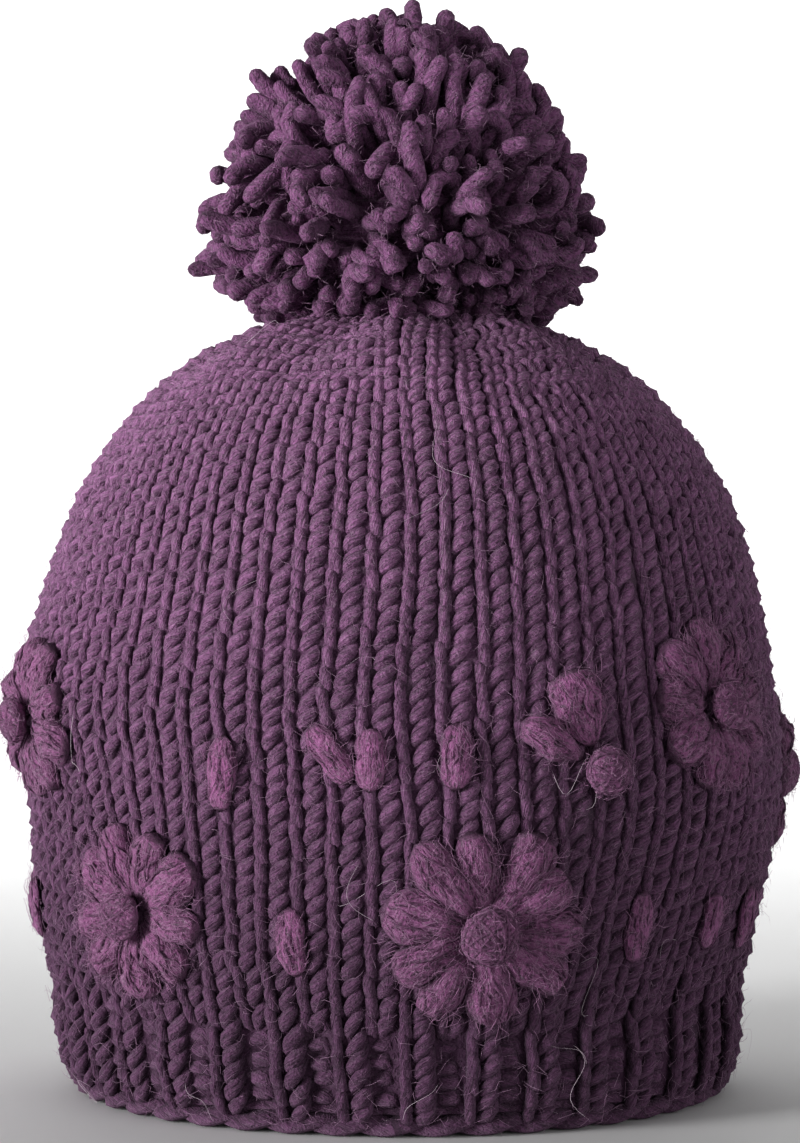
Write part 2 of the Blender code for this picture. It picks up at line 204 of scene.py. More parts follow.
# The pompom, as in the solids, and its ends of yarn: their number and thickness, their root,
# length and tip as shares of its radius and their own length, and how they bend and stray
POMPOM_WIDTH = 0.1000
POMPOM_HEIGHT = 0.0900
POMPOM_SINK = 0.0140
POMPOM_WIDEST = 0.36
END_COUNT = 780
END_YARN = 0.00212
END_SIDES = 8
END_ROUGH = 0.045
END_ROOT = 0.46
END_LENGTH = 0.50
END_TIP = 0.090
END_SAMPLES = 11
TIP_RINGS = (0.50, 0.14, 0.0)
LUMP_SIZE = 0.07
LUMP_TURNS = 23
END_REACH = (0.84, 1.02)
END_TILT = (0.15, 1.7)
END_STRAIGHT = 0.25
END_STEPS = (0.82, 1.18)
END_THICK = (0.84, 1.14)
END_SLIP = 0.05
END_BEND = 1.1
END_TURN = 1.7
TILT_SWAY = 0.26
TURN_SWAY = 0.4
STRAY_TILT = 0.5
STRAY_ENDS = 0.08
STRAY_REACH = 0.13
CURRENTS = 6
CURRENT_SIZE = 2.6
FLOW_CHANCE = 0.55
FLOW_DOWN = 0.25
POMPOM_TAPER = 0.22
POMPOM_CLEAR = 0.0018
CORE_SHARE = 0.66
CORE_SAMPLES = 14
CORE_SIDES = 28

# The embroidery: the gap under it, and the sizes of petals, knots and loose stitches
SEAT_GAP = 0.0006
PETAL_RISE = 0.0040
FLOWER_RADIUS = 0.0240
BUD_RADIUS = 0.0165
KNOT_WIDTH = 0.0125
KNOT_RISE = 0.0072
KNOT_TURNS = 18
KNOT_BASE = 0.0022
KNOT_OVER = 1.04
KNOT_YARN = 0.034
KNOT_YARN_SIDES = 5
KNOT_REACH = (0.85, 0.91)
KNOT_CORE = 0.93
KNOT_SAMPLES = 22
KNOT_RINGS = 10
KNOT_SIDES = 14
STITCH_LENGTH = 0.0160
STITCH_WIDTH = 0.0070
STITCH_RISE = 0.00204

Flower = namedtuple("Flower", "name angle height radius petals turn")
FLOWERS = (
    Flower("flower_front", 12.0, 0.250, 1.00, 10, 9),
    Flower("flower_left", -42.0, 0.258, 0.88, 9, 0),
    Flower("flower_right", 50.0, 0.500, 0.86, 9, 14),
    Flower("flower_far_left", -66.0, 0.478, 0.80, 9, 6),
    Flower("flower_far_right", 100.0, 0.402, 0.92, 9, 4),
    Flower("flower_back_right", 142.0, 0.258, 0.94, 10, 10),
    Flower("flower_back", -168.0, 0.485, 0.86, 9, 18),
    Flower("flower_back_left", -122.0, 0.262, 0.90, 9, 2),
)

# The bud: its place, its knot and petals, and each petal's turn, length and width
BUD_ANGLE = 28.4
BUD_HEIGHT = 0.432
BUD_KNOT_SHARE = 0.90
BUD_RISE = 0.85
BUD_PETALS = (
    (-60, 0.98, 0.50),
    (-18, 1.08, 0.80),
)

# Loose stitches: angle in degrees, height as a share of the crown's, length and turn
STITCHES = (
    (-9.6, 0.452, 0.95, -32),
    (-4.0, 0.446, 0.90, 8),
    (7.6, 0.450, 0.95, 8),
    (-25.6, 0.428, 1.10, 10),
    (-15.6, 0.232, 1.00, -6),
    (37.4, 0.242, 1.05, 2),
    (53.5, 0.240, 0.85, 2),
    (66.0, 0.236, 1.00, 0),
    (-76.0, 0.240, 0.95, 0),
    (116.0, 0.250, 1.00, 6),
    (124.0, 0.450, 0.95, -8),
    (152.0, 0.444, 1.00, 6),
    (168.0, 0.246, 0.90, -5),
    (-149.0, 0.252, 1.00, 6),
    (-140.0, 0.444, 1.00, -6),
    (-104.0, 0.436, 0.90, 4),
    (-94.0, 0.246, 0.95, -4),
)

# How far past its middle a petal is widest, where it starts, how much of the round it fills,
# and how uneven petals are in length, width and rise
PETAL_LEAN = 1.45
PETAL_START = 0.12
PETAL_SHARE = 0.70
PETAL_SLIP = 0.07
PETAL_LENGTHS = (0.88, 1.04)
PETAL_WIDTHS = (0.86, 1.16)
PETAL_RISES = (0.80, 1.12)

# Brushed stitches: their rings, how rough they and their ridges are, and the locks along them
PAD_SAMPLES = 14
PAD_SIDES = 11
PAD_LOCKS = 4
PAD_UNEVEN = 0.15
PAD_ROUGH = 0.10
RIDGE_LOW = 0.76
RIDGE_RISE = 0.28
RIDGE_WANDER = 0.25
RISE_POWER = 1.2
ROUND_POWER = 0.75
PAD_WRAP = 2.2
PAD_SHIFT = 40
LOCK_SAMPLES = 8
LOCK_SIDES = 5
LOCK_THICK = (0.020, 0.040)
LOCK_TAPER = (0.5, 0.85, 1.0, 1.0, 1.0, 1.0, 0.8, 0.4)
LOCK_STARTS = (-0.02, 0.40)
LOCK_STOPS = (0.86, 1.03)
LOCK_REACH = 0.88
LOCK_SWAY = 0.16
LOCK_WAVER = 0.10
LOCK_LIFTS = (-0.0004, 0.0002)
LOCK_SUNK = 0.0003

# Fuzz: how many fibres of each kind, their lengths as shares of one, and their radius and curl
KNIT_FIBRES = 5400
POMPOM_FIBRES = 5400
PETAL_FIBRES = 114
STITCH_FIBRES = 70
KNOT_FIBRES = 116
STRAY_HAIRS = 64
FIBRE_RADIUS = 0.000062
KNIT_FIBRE_RADIUS = 0.85 * FIBRE_RADIUS
BRUSHED_RADIUS = 0.000064
FIBRE_LENGTH = 0.0062
KNIT_LENGTHS = (0.30, 1.05)
POMPOM_LENGTHS = (0.20, 0.60)
PETAL_FIBRE_LENGTHS = (0.30, 0.90)
KNOT_LENGTHS = (0.18, 0.46)
STRAY_LENGTHS = (1.2, 2.8)
FIBRE_BOW = (-0.06, 0.22)
FIBRE_CURL = 0.26
FIBRE_TURNS = (3.0, 7.0)
FIBRE_TAPER = 0.6
FIBRE_SAMPLES = 4
FIBRE_SIDES = 3
FIBRE_STARTS = (-1.2, 1.2)
UNEVEN_THICK = (0.7, 1.3)
FIBRE_SUNK = 0.0002
FUZZ_RISE = 0.55
FUZZ_START = 0.004
FUZZ_TOP = 0.985
FUZZ_LOW = 0.003
FUZZ_LIFTS = (-0.0012, 0.0002)
STRAY_RISE = 0.25
STRAY_SAMPLES = 14

# The flat map's lanes: the bare edge beside each, and how long a face of the knit or of a fibre
# is for its width
LANE_EDGE = 0.15
KNIT_LEAN = 1.2

# The picture, whose long side is the sensor's
IMAGE_HEIGHT = 1143
FOCAL_PIXELS = 3268
SENSOR = 36.0
CAMERA_AWAY = 0.792
CAMERA_HEIGHT = 0.1238

# The studio: each light's place, target, size and power, the world's light and the floor
LIGHTS = {
    "key": ((-2.04, -1.20, 0.38), (0.0, 0.0, 0.12), 0.8, 76.0),
    "fill": ((1.5, -1.6, 0.4), (0.0, 0.0, 0.12), 1.4, 13.0),
    "backdrop": ((0.0, 0.85, 1.8), (0.0, 2.3, 1.0), 1.6, 62.0),
}
WORLD_LIGHT = 0.150
FLOOR_GREY = 0.78
SWEEP_START = 1.6
SWEEP_RADIUS = 0.9
SWEEP_STEPS = 24
FLOOR_FRONT = -4.0
WALL_TOP = 4.5
ROOM_HALF = 5.0

# The wools: darkest and lightest dye, sheen, how much the plies show in bump and in painted
# shade in their grooves, the streaks' fineness across and along the yarn, how far from its root
# the yarn is darkened by painted shade, how light the painted shade low on the hat leaves the
# rim, how strong curly hairs, mottling and pile are, which shares turn darkest and lightest, and
# how strong the pale hairs are
Wool = namedtuple("Wool", "dark light sheen plies streak root low curls mottling pile stretch pale")
KNIT_WOOL = Wool(
    dark=(0.013, 0.005, 0.012),
    light=(0.455, 0.185, 0.408),
    sheen=0.17,
    plies=0.66,
    streak=(5.0, 300.0),
    root=(),
    low=0.30,
    curls=0.30,
    mottling=0.14,
    pile=0.12,
    stretch=(0.0, 1.0),
    pale=0.34,
)
POMPOM_WOOL = Wool(
    dark=(0.018, 0.007, 0.016),
    light=(0.236, 0.084, 0.208),
    sheen=0.13,
    plies=0.10,
    streak=(3.0, 700.0),
    root=(0.005, 0.020),
    low=1.0,
    curls=0.34,
    mottling=0.16,
    pile=0.16,
    stretch=(0.12, 0.92),
    pale=0.22,
)
PETAL_WOOL = Wool(
    dark=(0.020, 0.006, 0.017),
    light=(0.296, 0.100, 0.240),
    sheen=0.20,
    plies=0.0,
    streak=(5.0, 300.0),
    root=(),
    low=0.80,
    curls=0.40,
    mottling=0.22,
    pile=0.14,
    stretch=(0.18, 0.84),
    pale=0.30,
)
# The loose stitches' and the bud's roving: the petals' wool with a lighter dye, painted light so that
# these small, low stitches look as bright as the knit around them
PAINTED_LIGHT_STITCH_WOOL = PETAL_WOOL._replace(light=(0.385, 0.126, 0.310))

# The fineness of the wool's noises, in waves a metre or, for the hairs along the yarn, in streaks
FUZZ_SCALE = 1700.0
MOTTLE_SCALE = 430.0
PATCH_SCALE = 22.0
CURLY_SCALES = (0.34, 400.0)
PALE_SCALES = (0.50, 640.0)
BUMP_HEIGHT = 0.0009

# The loose fibres' colours
KNIT_FIBRE_COLOUR = (0.34, 0.18, 0.30)
FLOWER_FIBRE_COLOUR = (0.36, 0.16, 0.305)
PALE_HAIR_COLOUR = (0.66, 0.54, 0.62)


def unit(vectors):
    """Vectors scaled to a length of one."""
    return vectors / np.maximum(np.linalg.norm(vectors, axis=-1, keepdims=True), 1e-12)


def square_to(vectors, line):
    """Directions square to a line: vectors without their share of it, scaled to one."""
    return unit(vectors - line * (vectors * line).sum(-1, keepdims=True))


def columns(*values):
    """Numbers and arrays side by side, as the last axis of one array."""
    return np.stack(np.broadcast_arrays(*values), axis=-1)


def catmull_rom(before, start, end, after, share):
    """The cubic from start to end whose slopes there come from the points on both sides."""
    return 0.5 * (
        2 * start
        + (end - before) * share
        + (2 * before - 5 * start + 4 * end - after) * share**2
        + (3 * start - before - 3 * end + after) * share**3
    )


def strand_draws(chance, count):
    """A function that draws a number between two limits for each of that many strands."""
    return lambda low, high: chance.uniform(low, high, (count, 1, 1))


def outside_line():
    """The knit's outside as columns along, width, height, shift, out and up.

    Between two sections each column follows a Catmull-Rom cubic. Along is the running length of
    the line of radius and height, and out and up are its slope turned a quarter round.
    """
    table = np.array(SECTIONS)
    padded = np.vstack([2 * table[0] - table[1], table, 2 * table[-1] - table[-2]])
    corners = (padded[i : len(padded) - 3 + i, None] for i in range(4))
    points = catmull_rom(*corners, (np.arange(LINE_STEPS) / LINE_STEPS)[None, :, None])
    height, width, shift = np.vstack([points.reshape(-1, 3), table[-1:]]).T
    height = height * CROWN_TOP
    radius = width * MEAN_RADIUS
    along = np.append(0.0, np.cumsum(np.hypot(np.diff(radius), np.diff(height))))
    across = np.gradient(radius, along)
    rise = np.gradient(height, along)
    size = np.hypot(across, rise)
    return along, width, height, shift * CROWN_WIDTH, rise / size, -across / size


ALONG, WIDTH, HEIGHT, SHIFT, OUT, UP = outside_line()
WHOLE_WAY = ALONG[-1]
RADIUS = WIDTH * MEAN_RADIUS


def along_at(height):
    """The distance from the rim, over the knit, at which its outside reaches that height."""
    return np.interp(height, HEIGHT, ALONG)


def radius_at(along):
    """The hat's radius at a distance from the rim, in the middle of its width and depth."""
    return np.interp(along, ALONG, RADIUS)


def swelling(angle, height):
    """The knit's soft swells and hollows: a sum of bell curves over angle and height."""
    total = 0.0
    for middle, wide, level, tall, rise in SWELLS:
        turned = (np.degrees(angle) - middle + 180) % 360 - 180
        bell = np.exp(-((turned / wide) ** 2) - ((height / CROWN_TOP - level) / tall) ** 2)
        total = total + rise * CROWN_WALL * bell
    return total


def gathering(angle, along):
    """The folds under the pompom: a cosine round the hat, strongest half-way to the top."""
    start = along_at(GATHER_START * CROWN_TOP)
    share = np.clip((along - start) / (WHOLE_WAY - start), 0.0, 1.0)
    return GATHER_DEPTH * np.sin(np.pi * share) ** 2 * np.cos(GATHER_COUNT * angle)


def hat(angle, along, lift=0.0):
    """Points of the knit's outside, and lift beyond it, at angles and distances from the rim.

    An ellipse round the axis whose half axes are the line's width times the crown's half width
    and half depth, moved along the line's outward direction by the swells, folds and lift.
    """
    width, height, shift, out, up = (
        np.interp(along, ALONG, column) for column in (WIDTH, HEIGHT, SHIFT, OUT, UP)
    )
    lift = lift + swelling(angle, height) * width + gathering(angle, along)
    side = CROWN_WIDTH / 2 * width + lift * out
    front = CROWN_DEPTH / 2 * width + lift * out
    return columns(side * np.sin(angle) + shift, -front * np.cos(angle), height + lift * up)


def away(angle, along):
    """The directions that face away from the knit: the line's out and up, turned round."""
    out = np.interp(along, ALONG, OUT)
    up = np.interp(along, ALONG, UP)
    return columns(out * np.sin(angle), -out * np.cos(angle), up)


def around(place, right, upward, lift):
    """Points of the knit right and upward of a place, an angle and a distance from the rim."""
    angle, along = place
    return hat(angle + right / radius_at(along), along + upward, lift)


Skin = namedtuple("Skin", "points yarn strands samples sides closed")


def tubes(path, outward, radius, sides, closed=False):
    """Skins of yarn round paths of shape strands, samples, 3.

    Round each sample stands a ring: the path's point plus the radius times the cosine and sine
    of a turning angle, along the outward direction squared to the path and the direction across
    both. An open path's first and last samples are single points that close its ends. The yarn
    columns are the turning angle's cosine and sine and the running length.
    """
    if closed:
        ahead = np.roll(path, -1, axis=1)
        forward = unit(ahead - np.roll(path, 1, axis=1))
        steps = np.linalg.norm(ahead - path, axis=-1)
        length = np.cumsum(steps, axis=1) - steps
    else:
        forward = unit(np.gradient(path, axis=1))
        steps = np.linalg.norm(np.diff(path, axis=1), axis=-1)
        length = np.cumsum(np.pad(steps, ((0, 0), (1, 0))), axis=1)
    facing = square_to(outward, forward)[:, :, None]
    across = np.cross(forward[:, :, None], facing)
    turn = TAU * np.arange(sides) / sides
    ring = facing * np.cos(turn)[:, None] + across * np.sin(turn)[:, None]
    points = path[:, :, None] + ring * radius.reshape(*radius.shape[:2], -1, 1)
    # The cosine column is 1 where the ring faces outward; the wool paints shade where it is low
    return skin(points, columns(np.cos(turn), np.sin(turn), length[:, :, None]), closed, path)


def skin(points, yarn, closed, path):
    """A skin from rings of points, whose end rings shrink to the path's ends if it is open."""
    strands, samples, sides, _ = points.shape
    if closed:
        flat = points.reshape(-1, 3)
        return Skin(flat, yarn.reshape(-1, 3), strands, samples, sides, True)
    ends = path[:, [0, -1]]
    inner = points[:, 1:-1].reshape(strands, -1, 3)
    inner_yarn = yarn[:, 1:-1].reshape(strands, -1, 3)
    end_yarn = yarn[:, [0, -1], 0] * (0, 0, 1)
    flat = np.concatenate([inner, ends], axis=1).reshape(-1, 3)
    flat_yarn = np.concatenate([inner_yarn, end_yarn], axis=1).reshape(-1, 3)
    return Skin(flat, flat_yarn, strands, samples - 2, sides, False)


def faces_of(part):
    """The corners of a skin's faces, in fours, whose last is repeated where a face has three.

    With each face come its number along its strand, counted over all strands, and its side.
    """
    size = part.samples * part.sides + (0 if part.closed else 2)
    counts = (part.strands, part.samples, part.sides)
    strand, sample, side = np.meshgrid(*map(np.arange, counts), indexing="ij")
    here = strand * size + sample * part.sides + side
    right = np.roll(here, -1, axis=2)
    over = np.roll(here, -1, axis=1)
    corners = columns(here, right, np.roll(over, -1, axis=2), over)
    place = strand * (part.samples + 1) + sample + 1
    if part.closed:
        return corners.reshape(-1, 4), place.ravel(), side.ravel()
    low = strand[:, 0] * size + part.samples * part.sides
    start = columns(right[:, 0], here[:, 0], low, low)
    end = columns(here[:, -1], right[:, -1], low + 1, low + 1)
    places = (place[:, :-1], place[:, 0] - 1, place[:, -1])
    sides = (side[:, :-1], side[:, 0], side[:, -1])
    return (
        np.concatenate([c.reshape(-1, 4) for c in (corners[:, :-1], start, end)]),
        np.concatenate([p.ravel() for p in places]),
        np.concatenate([s.ravel() for s in sides]),
    )


def bake_places(place, side, sides, lean):
    """Each face's corners on a flat map: strips of yarn laid side by side in lanes.

    A face's number along all the yarn, divided by a lane's length, gives its lane and its place
    in the lane, and its side gives its height there. Lean is how long a face is for its width.
    """
    total = int(place.max()) + 1
    per_lane = math.ceil(math.sqrt(total * sides / lean))
    lanes = math.ceil(total / per_lane)
    start = (place % per_lane) / per_lane
    low = (place // per_lane + (side + LANE_EDGE) / (sides + 2 * LANE_EDGE)) / lanes
    step = 1 / (sides + 2 * LANE_EDGE) / lanes
    stop = start + 1 / per_lane
    return columns(columns(start, start, stop, stop), columns(low, low + step, low + step, low))


def make_piece(name, parts, material, nodes=(), lean=1.0):
    """A smooth mesh of several skins, with the yarn's attribute and a flat map for a bake."""
    corners, places, sides = [], [], []
    points_before, place_before = 0, 0
    widest = max(part.sides for part in parts)
    for part in parts:
        face, place, side = faces_of(part)
        corners.append(face + points_before)
        places.append(place + place_before)
        sides.append(side * widest / part.sides)
        points_before += len(part.points)
        place_before += int(place.max()) + 2
    flats = bake_places(np.concatenate(places), np.concatenate(sides), widest, lean)
    corners = np.concatenate(corners)
    three = corners[:, 2] == corners[:, 3]
    kept = np.ones(corners.shape, bool)
    kept[three, 3] = False
    count = np.where(three, 3, 4)
    mesh = bpy.data.meshes.new(name)
    mesh.vertices.add(points_before)
    mesh.vertices.foreach_set("co", np.concatenate([p.points for p in parts]).ravel())
    mesh.loops.add(int(count.sum()))
    mesh.loops.foreach_set("vertex_index", corners[kept].astype(np.int32))
    mesh.polygons.add(len(corners))
    mesh.polygons.foreach_set("loop_start", (np.cumsum(count) - count).astype(np.int32))
    mesh.update(calc_edges=True)
    mesh.shade_smooth()
    yarn = mesh.attributes.new("yarn", "FLOAT_VECTOR", "POINT")
    yarn.data.foreach_set("vector", np.concatenate([p.yarn for p in parts]).ravel())
    flat = mesh.uv_layers.new(name="OFBake")
    flat.uv.foreach_set("vector", flats[kept].ravel())
    mesh.materials.append(material)
    piece = add_object(name, mesh)
    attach(piece, "root")
    if nodes:
        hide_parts(*nodes)


def add_object(name, data):
    """A new object in the scene, of a mesh, a light or a camera."""
    thing = bpy.data.objects.new(name, data)
    bpy.context.scene.collection.objects.link(thing)
    return thing


class Wire:
    """A socket that can be worked with in expressions, each step adding its node."""

    def __init__(self, tree, socket):
        self.tree = tree
        self.socket = socket

    def math(self, operation, *values):
        """The result of a maths node on wires and numbers."""
        node = add_node(self.tree, "ShaderNodeMath", {"operation": operation})
        for socket, value in zip(node.inputs, values):
            feed(self.tree, socket, value)
        return Wire(self.tree, node.outputs[0])

    def __add__(self, other):
        return self.math("ADD", self, other)

    def __sub__(self, other):
        return self.math("SUBTRACT", self, other)

    def __rsub__(self, other):
        return self.math("SUBTRACT", other, self)

    def __mul__(self, other):
        return self.math("MULTIPLY", self, other)

    def __pow__(self, other):
        return self.math("POWER", self, other)

    def __abs__(self):
        return self.math("ABSOLUTE", self)


def feed(tree, socket, value):
    """Links a wire to a socket, or sets the socket's own value."""
    if isinstance(value, Wire):
        tree.links.new(value.socket, socket)
    else:
        socket.default_value = value


def add_node(tree, kind, settings=None, **values):
    """A node with its settings, then its sockets' values or wires by name."""
    node = tree.nodes.new(kind)
    for name, value in (settings or {}).items():
        setattr(node, name, value)
    for name, value in values.items():
        feed(tree, node.inputs[name.replace("_", " ")], value)
    return node


def blend(tree, share, dark, light):
    """A colour between two colours, at a share from 0 to 1."""
    node = add_node(tree, "ShaderNodeMix", {"data_type": "RGBA"})
    by_name = {s.identifier: s for s in node.inputs}
    feed(tree, by_name["Factor_Float"], share)
    for name, colour in (("A_Color", dark), ("B_Color", light)):
        feed(tree, by_name[name], colour if isinstance(colour, Wire) else (*colour, 1.0))
    out = next(s for s in node.outputs if s.identifier == "Result_Color")
    return Wire(tree, out)


def ramp(wire, low, high):
    """A wire's share of the way from low to high, held between 0 and 1."""
    node = add_node(wire.tree, "ShaderNodeMapRange", {"clamp": True})
    for name, value in (("Value", wire), ("From Min", low), ("From Max", high)):
        feed(wire.tree, node.inputs[name], value)
    return Wire(wire.tree, node.outputs[0])


def plain_material(name, **values):
    """A material of one shader, with its sockets' values by name."""
    material = bpy.data.materials.new(name)
    material.use_nodes = True
    shader = material.node_tree.nodes["Principled BSDF"]
    for key, value in values.items():
        shader.inputs[key.replace("_", " ")].default_value = value
    return material


def wool(name, look):
    """Spun wool: plies that wind round the yarn, fibres along them and a mottled dye.

    The ply's height is the size of the cosine of the turn round the yarn less its twist, and
    the streaks are noise that is drawn out along the twisted yarn. Thin curly hairs lie on it,
    light ones in the dye and pale ones over it. Painted shade darkens the grooves between the
    plies, the yarn's inner side, its root where the look has one, and the tone towards the rim.
    """
    material = plain_material(
        name,
        Roughness=0.92,
        Specular_IOR_Level=0.20,
        Sheen_Weight=look.sheen,
        Sheen_Roughness=0.45,
        Sheen_Tint=(0.80, 0.50, 0.76, 1.0),
    )
    tree = material.node_tree
    shader = tree.nodes["Principled BSDF"]
    attribute = add_node(tree, "ShaderNodeAttribute", {"attribute_name": "yarn"})
    parts = add_node(tree, "ShaderNodeSeparateXYZ")
    tree.links.new(attribute.outputs["Vector"], parts.inputs[0])
    cosine, sine, length = (Wire(tree, s) for s in parts.outputs)
    turned = length * (TAU / PLY_TWIST if look.plies else 0.0)
    turn_cosine = turned.math("COSINE", turned)
    turn_sine = turned.math("SINE", turned)
    along_ply = cosine * turn_cosine + sine * turn_sine
    across_ply = sine * turn_cosine - cosine * turn_sine
    ply = abs(along_ply) ** 0.6
    place = add_node(tree, "ShaderNodeCombineXYZ")
    across, along = look.streak
    for socket, wire in zip(place.inputs, (along_ply * across, across_ply * across, length * along)):
        feed(tree, socket, wire)
    coordinates = add_node(tree, "ShaderNodeTexCoord")
    spot = Wire(tree, coordinates.outputs["Object"])
    where = add_node(tree, "ShaderNodeVectorMath", {"operation": "ADD"})
    tree.links.new(place.outputs[0], where.inputs[0])
    tree.links.new(spaced(tree, spot, 37.0).socket, where.inputs[1])
    drawn_out = Wire(tree, where.outputs[0])
    fibres = noise(tree, drawn_out, 1.0, 3.0)
    fuzz = noise(tree, spot, FUZZ_SCALE, 2.0)
    mottle = noise(tree, spot, MOTTLE_SCALE, 3.0, 2.6)
    patches = noise(tree, spot, PATCH_SCALE, 1.0)
    hairs = strays(tree, drawn_out, CURLY_SCALES[0]) * (0.26 / look.curls)
    hairs = hairs + strays(tree, spot, CURLY_SCALES[1]) * 0.8
    shade = ramp(fibres, 0.42, 0.68) * (0.56 - look.mottling)
    shade = shade + ramp(mottle, 0.36, 0.64) * look.mottling + ramp(patches, 0.35, 0.65) * 0.10
    shade = shade + hairs * look.curls + ramp(fuzz, 0.3, 0.7) * look.pile
    axes = add_node(tree, "ShaderNodeSeparateXYZ", Vector=spot)
    # Painted shade: the tone darkens towards the rim, low on the hat, where less light falls
    rim = ramp(Wire(tree, axes.outputs[2]), *LOW_SHADE_HEIGHTS) * (1 - look.low) + look.low
    shade = ramp(shade, *look.stretch) * rim
    # Painted shade in the grooves between the plies
    painted_groove_shade = ramp(ply, 0.0, 0.75) * look.plies + (1 - look.plies)
    # Painted shade: the yarn darker on its inner side, where its neighbours shade it, and on the
    # pompom darker towards each end's root and its inner side
    if look.root:
        painted_shade = ramp(length, *look.root) * 0.66 + 0.34
        painted_shade = painted_shade * (ramp(cosine, -0.6, 0.8) * 0.55 + 0.45)
    else:
        painted_shade = ramp(cosine, -0.35, 0.85) * 0.86 + 0.14
    colour = blend(tree, shade * (painted_groove_shade * 0.6 + 0.4) * painted_shade, look.dark, look.light)
    hairs_over = strays(tree, drawn_out, PALE_SCALES[0], 0.03)
    hairs_over = hairs_over + strays(tree, spot, PALE_SCALES[1], 0.035)
    # The pale hairs fade with the same painted shade
    colour = blend(tree, hairs_over * painted_shade * rim * look.pale, colour, PALE_WOOL)
    tree.links.new(colour.socket, shader.inputs["Base Color"])
    height = ply * look.plies + fibres * 0.45 + fuzz * (0.10 + 2 * look.pile) + hairs * 0.24
    height = height + mottle * (1.6 * look.mottling)
    bump = add_node(tree, "ShaderNodeBump", Strength=1.0, Distance=BUMP_HEIGHT, Height=height)
    tree.links.new(bump.outputs[0], shader.inputs["Normal"])
    return material


def strays(tree, spot, scale, wide=0.13):
    """Thin curly lines, 1 on a line and 0 off it: where a noise comes close to a half."""
    line = abs(noise(tree, spot, scale, 1.0, 1.2) - 0.5)
    return 1.0 - ramp(line, 0.15 * wide, wide)


def spaced(tree, spot, scale):
    """Object coordinates times a number."""
    node = add_node(tree, "ShaderNodeVectorMath", {"operation": "SCALE"}, Vector=spot, Scale=scale)
    return Wire(tree, node.outputs[0])


def noise(tree, spot, scale, detail, curl=0.0):
    """Noise from 0 to 1 at a place, curled up by bending the place itself."""
    values = {"Vector": spot, "Scale": scale, "Detail": detail, "Distortion": curl, "Roughness": 0.6}
    node = add_node(tree, "ShaderNodeTexNoise", **values)
    return Wire(tree, node.outputs[0])


def plain_fibre(name, colour):
    """Loose fibres: one pale, soft colour."""
    sheen = {"Sheen_Weight": 0.3, "Sheen_Tint": (0.9, 0.75, 0.9, 1.0)}
    return plain_material(name, Base_Color=(*colour, 1.0), Roughness=0.75, **sheen)


def spread(angle, along):
    """Angles moved away from the front by a sine, where the crown's stitches are the widest."""
    share = np.clip((along - SPREAD_START) / SPREAD_RISE, 0.0, 1.0)
    return angle + FRONT_SPREAD * share * np.sin(angle)


def waves(angle, along, start):
    """A sum of slow sines over the knit."""
    total = 0.0
    for turns, up, own_start, size in WAVES:
        total = total + size * np.sin(turns * angle + up * along + own_start + start)
    return total


def stitch_count(along):
    """How many stitches each wedge has at a distance from the rim."""
    fitting = TAU * radius_at(along) / (WEDGES * TIGHT_STITCH)
    return int(np.clip(round(float(fitting)), 1, WEDGE_STITCHES))


def stitch_middles(count, wanted):
    """The angles of the middles of stitches in a row of that many a wedge, one wedge a line."""
    wedge = TAU * np.arange(WEDGES)[:, None] / WEDGES
    stitch = np.minimum(np.arange(wanted), count - 1)
    return wedge + TAU / WEDGES * (stitch + 0.5) / count


def knit_row(number, chance):
    """One round of stitches: the loop's points, set side by side and smoothed into one yarn.

    Each stitch's points go to its middle plus across times its width, leaned towards the same
    stitch of the row above, and the closed yarn through them is a Catmull-Rom curve. On the
    band every second stitch is turned back to front, and the furrows there are sunk.
    """
    along = FIRST_ROW + ROW * number
    count = stitch_count(along)
    middle = stitch_middles(count, count).reshape(-1, 1)
    above = stitch_middles(min(count, stitch_count(along + ROW)), count).reshape(-1, 1)
    stitches = len(middle)
    odd = np.arange(stitches)[:, None] % 2 == 1
    purl = odd & (number < BAND_ROWS)
    slips = chance.normal(0.0, STITCH_SLIP, (4, stitches, 1)) * np.where(purl, PURL_SLIP, 1.0)
    across, up, out, thick = (
        np.where(purl, turned, plain)
        for plain, turned in zip(np.array(LOOP).T, np.array(PURL_LOOP).T)
    )
    width = TAU / WEDGES / count * np.ones((stitches, 1))
    lift = -MIDDLE_DEPTH + 0 * middle
    if number < BAND_ROWS:
        width = width * np.where(purl, FURROW_WIDE, RIB_WIDE)
    if number < len(FURROW_DEPTHS):
        lift = lift + np.where(odd, -FURROW_DEPTHS[number], RIB_OUT)
    level = along + ROW * up + 0 * middle
    angle = middle + (above - middle) * up + (across - 0.5) * width
    angle = spread(angle, level) + (waves(middle, along, 0.0) + slips[0]) / radius_at(along)
    level = level + waves(middle, along, 3.0) + slips[1]
    lift = lift + out * YARN + slips[2] * OUT_SLIP
    thick = thick * YARN * (1 + slips[3] * THICK_SLIP)
    points = hat(angle, level, lift)
    facing = away(angle, level)
    table = np.concatenate([points, facing, thick[..., None]], axis=-1).reshape(-1, 7)
    rings = np.arange(stitches)[:, None] * len(LOOP) + np.array(LOOP_RINGS)
    smooth = closed_curve(table, rings.ravel())
    smooth[:, 2] = np.maximum(smooth[:, 2], smooth[:, 6] + FLOOR_GAP)
    return tubes(smooth[None, :, :3], smooth[None, :, 3:6], smooth[None, :, 6], YARN_SIDES, True)


def closed_curve(points, at):
    """The closed Catmull-Rom curve through points of any columns, at places counted in points."""
    first = at.astype(int)
    corners = (points[(first + i) % len(points)] for i in (-1, 0, 1, 2))
    return catmull_rom(*corners, (at - first)[:, None])


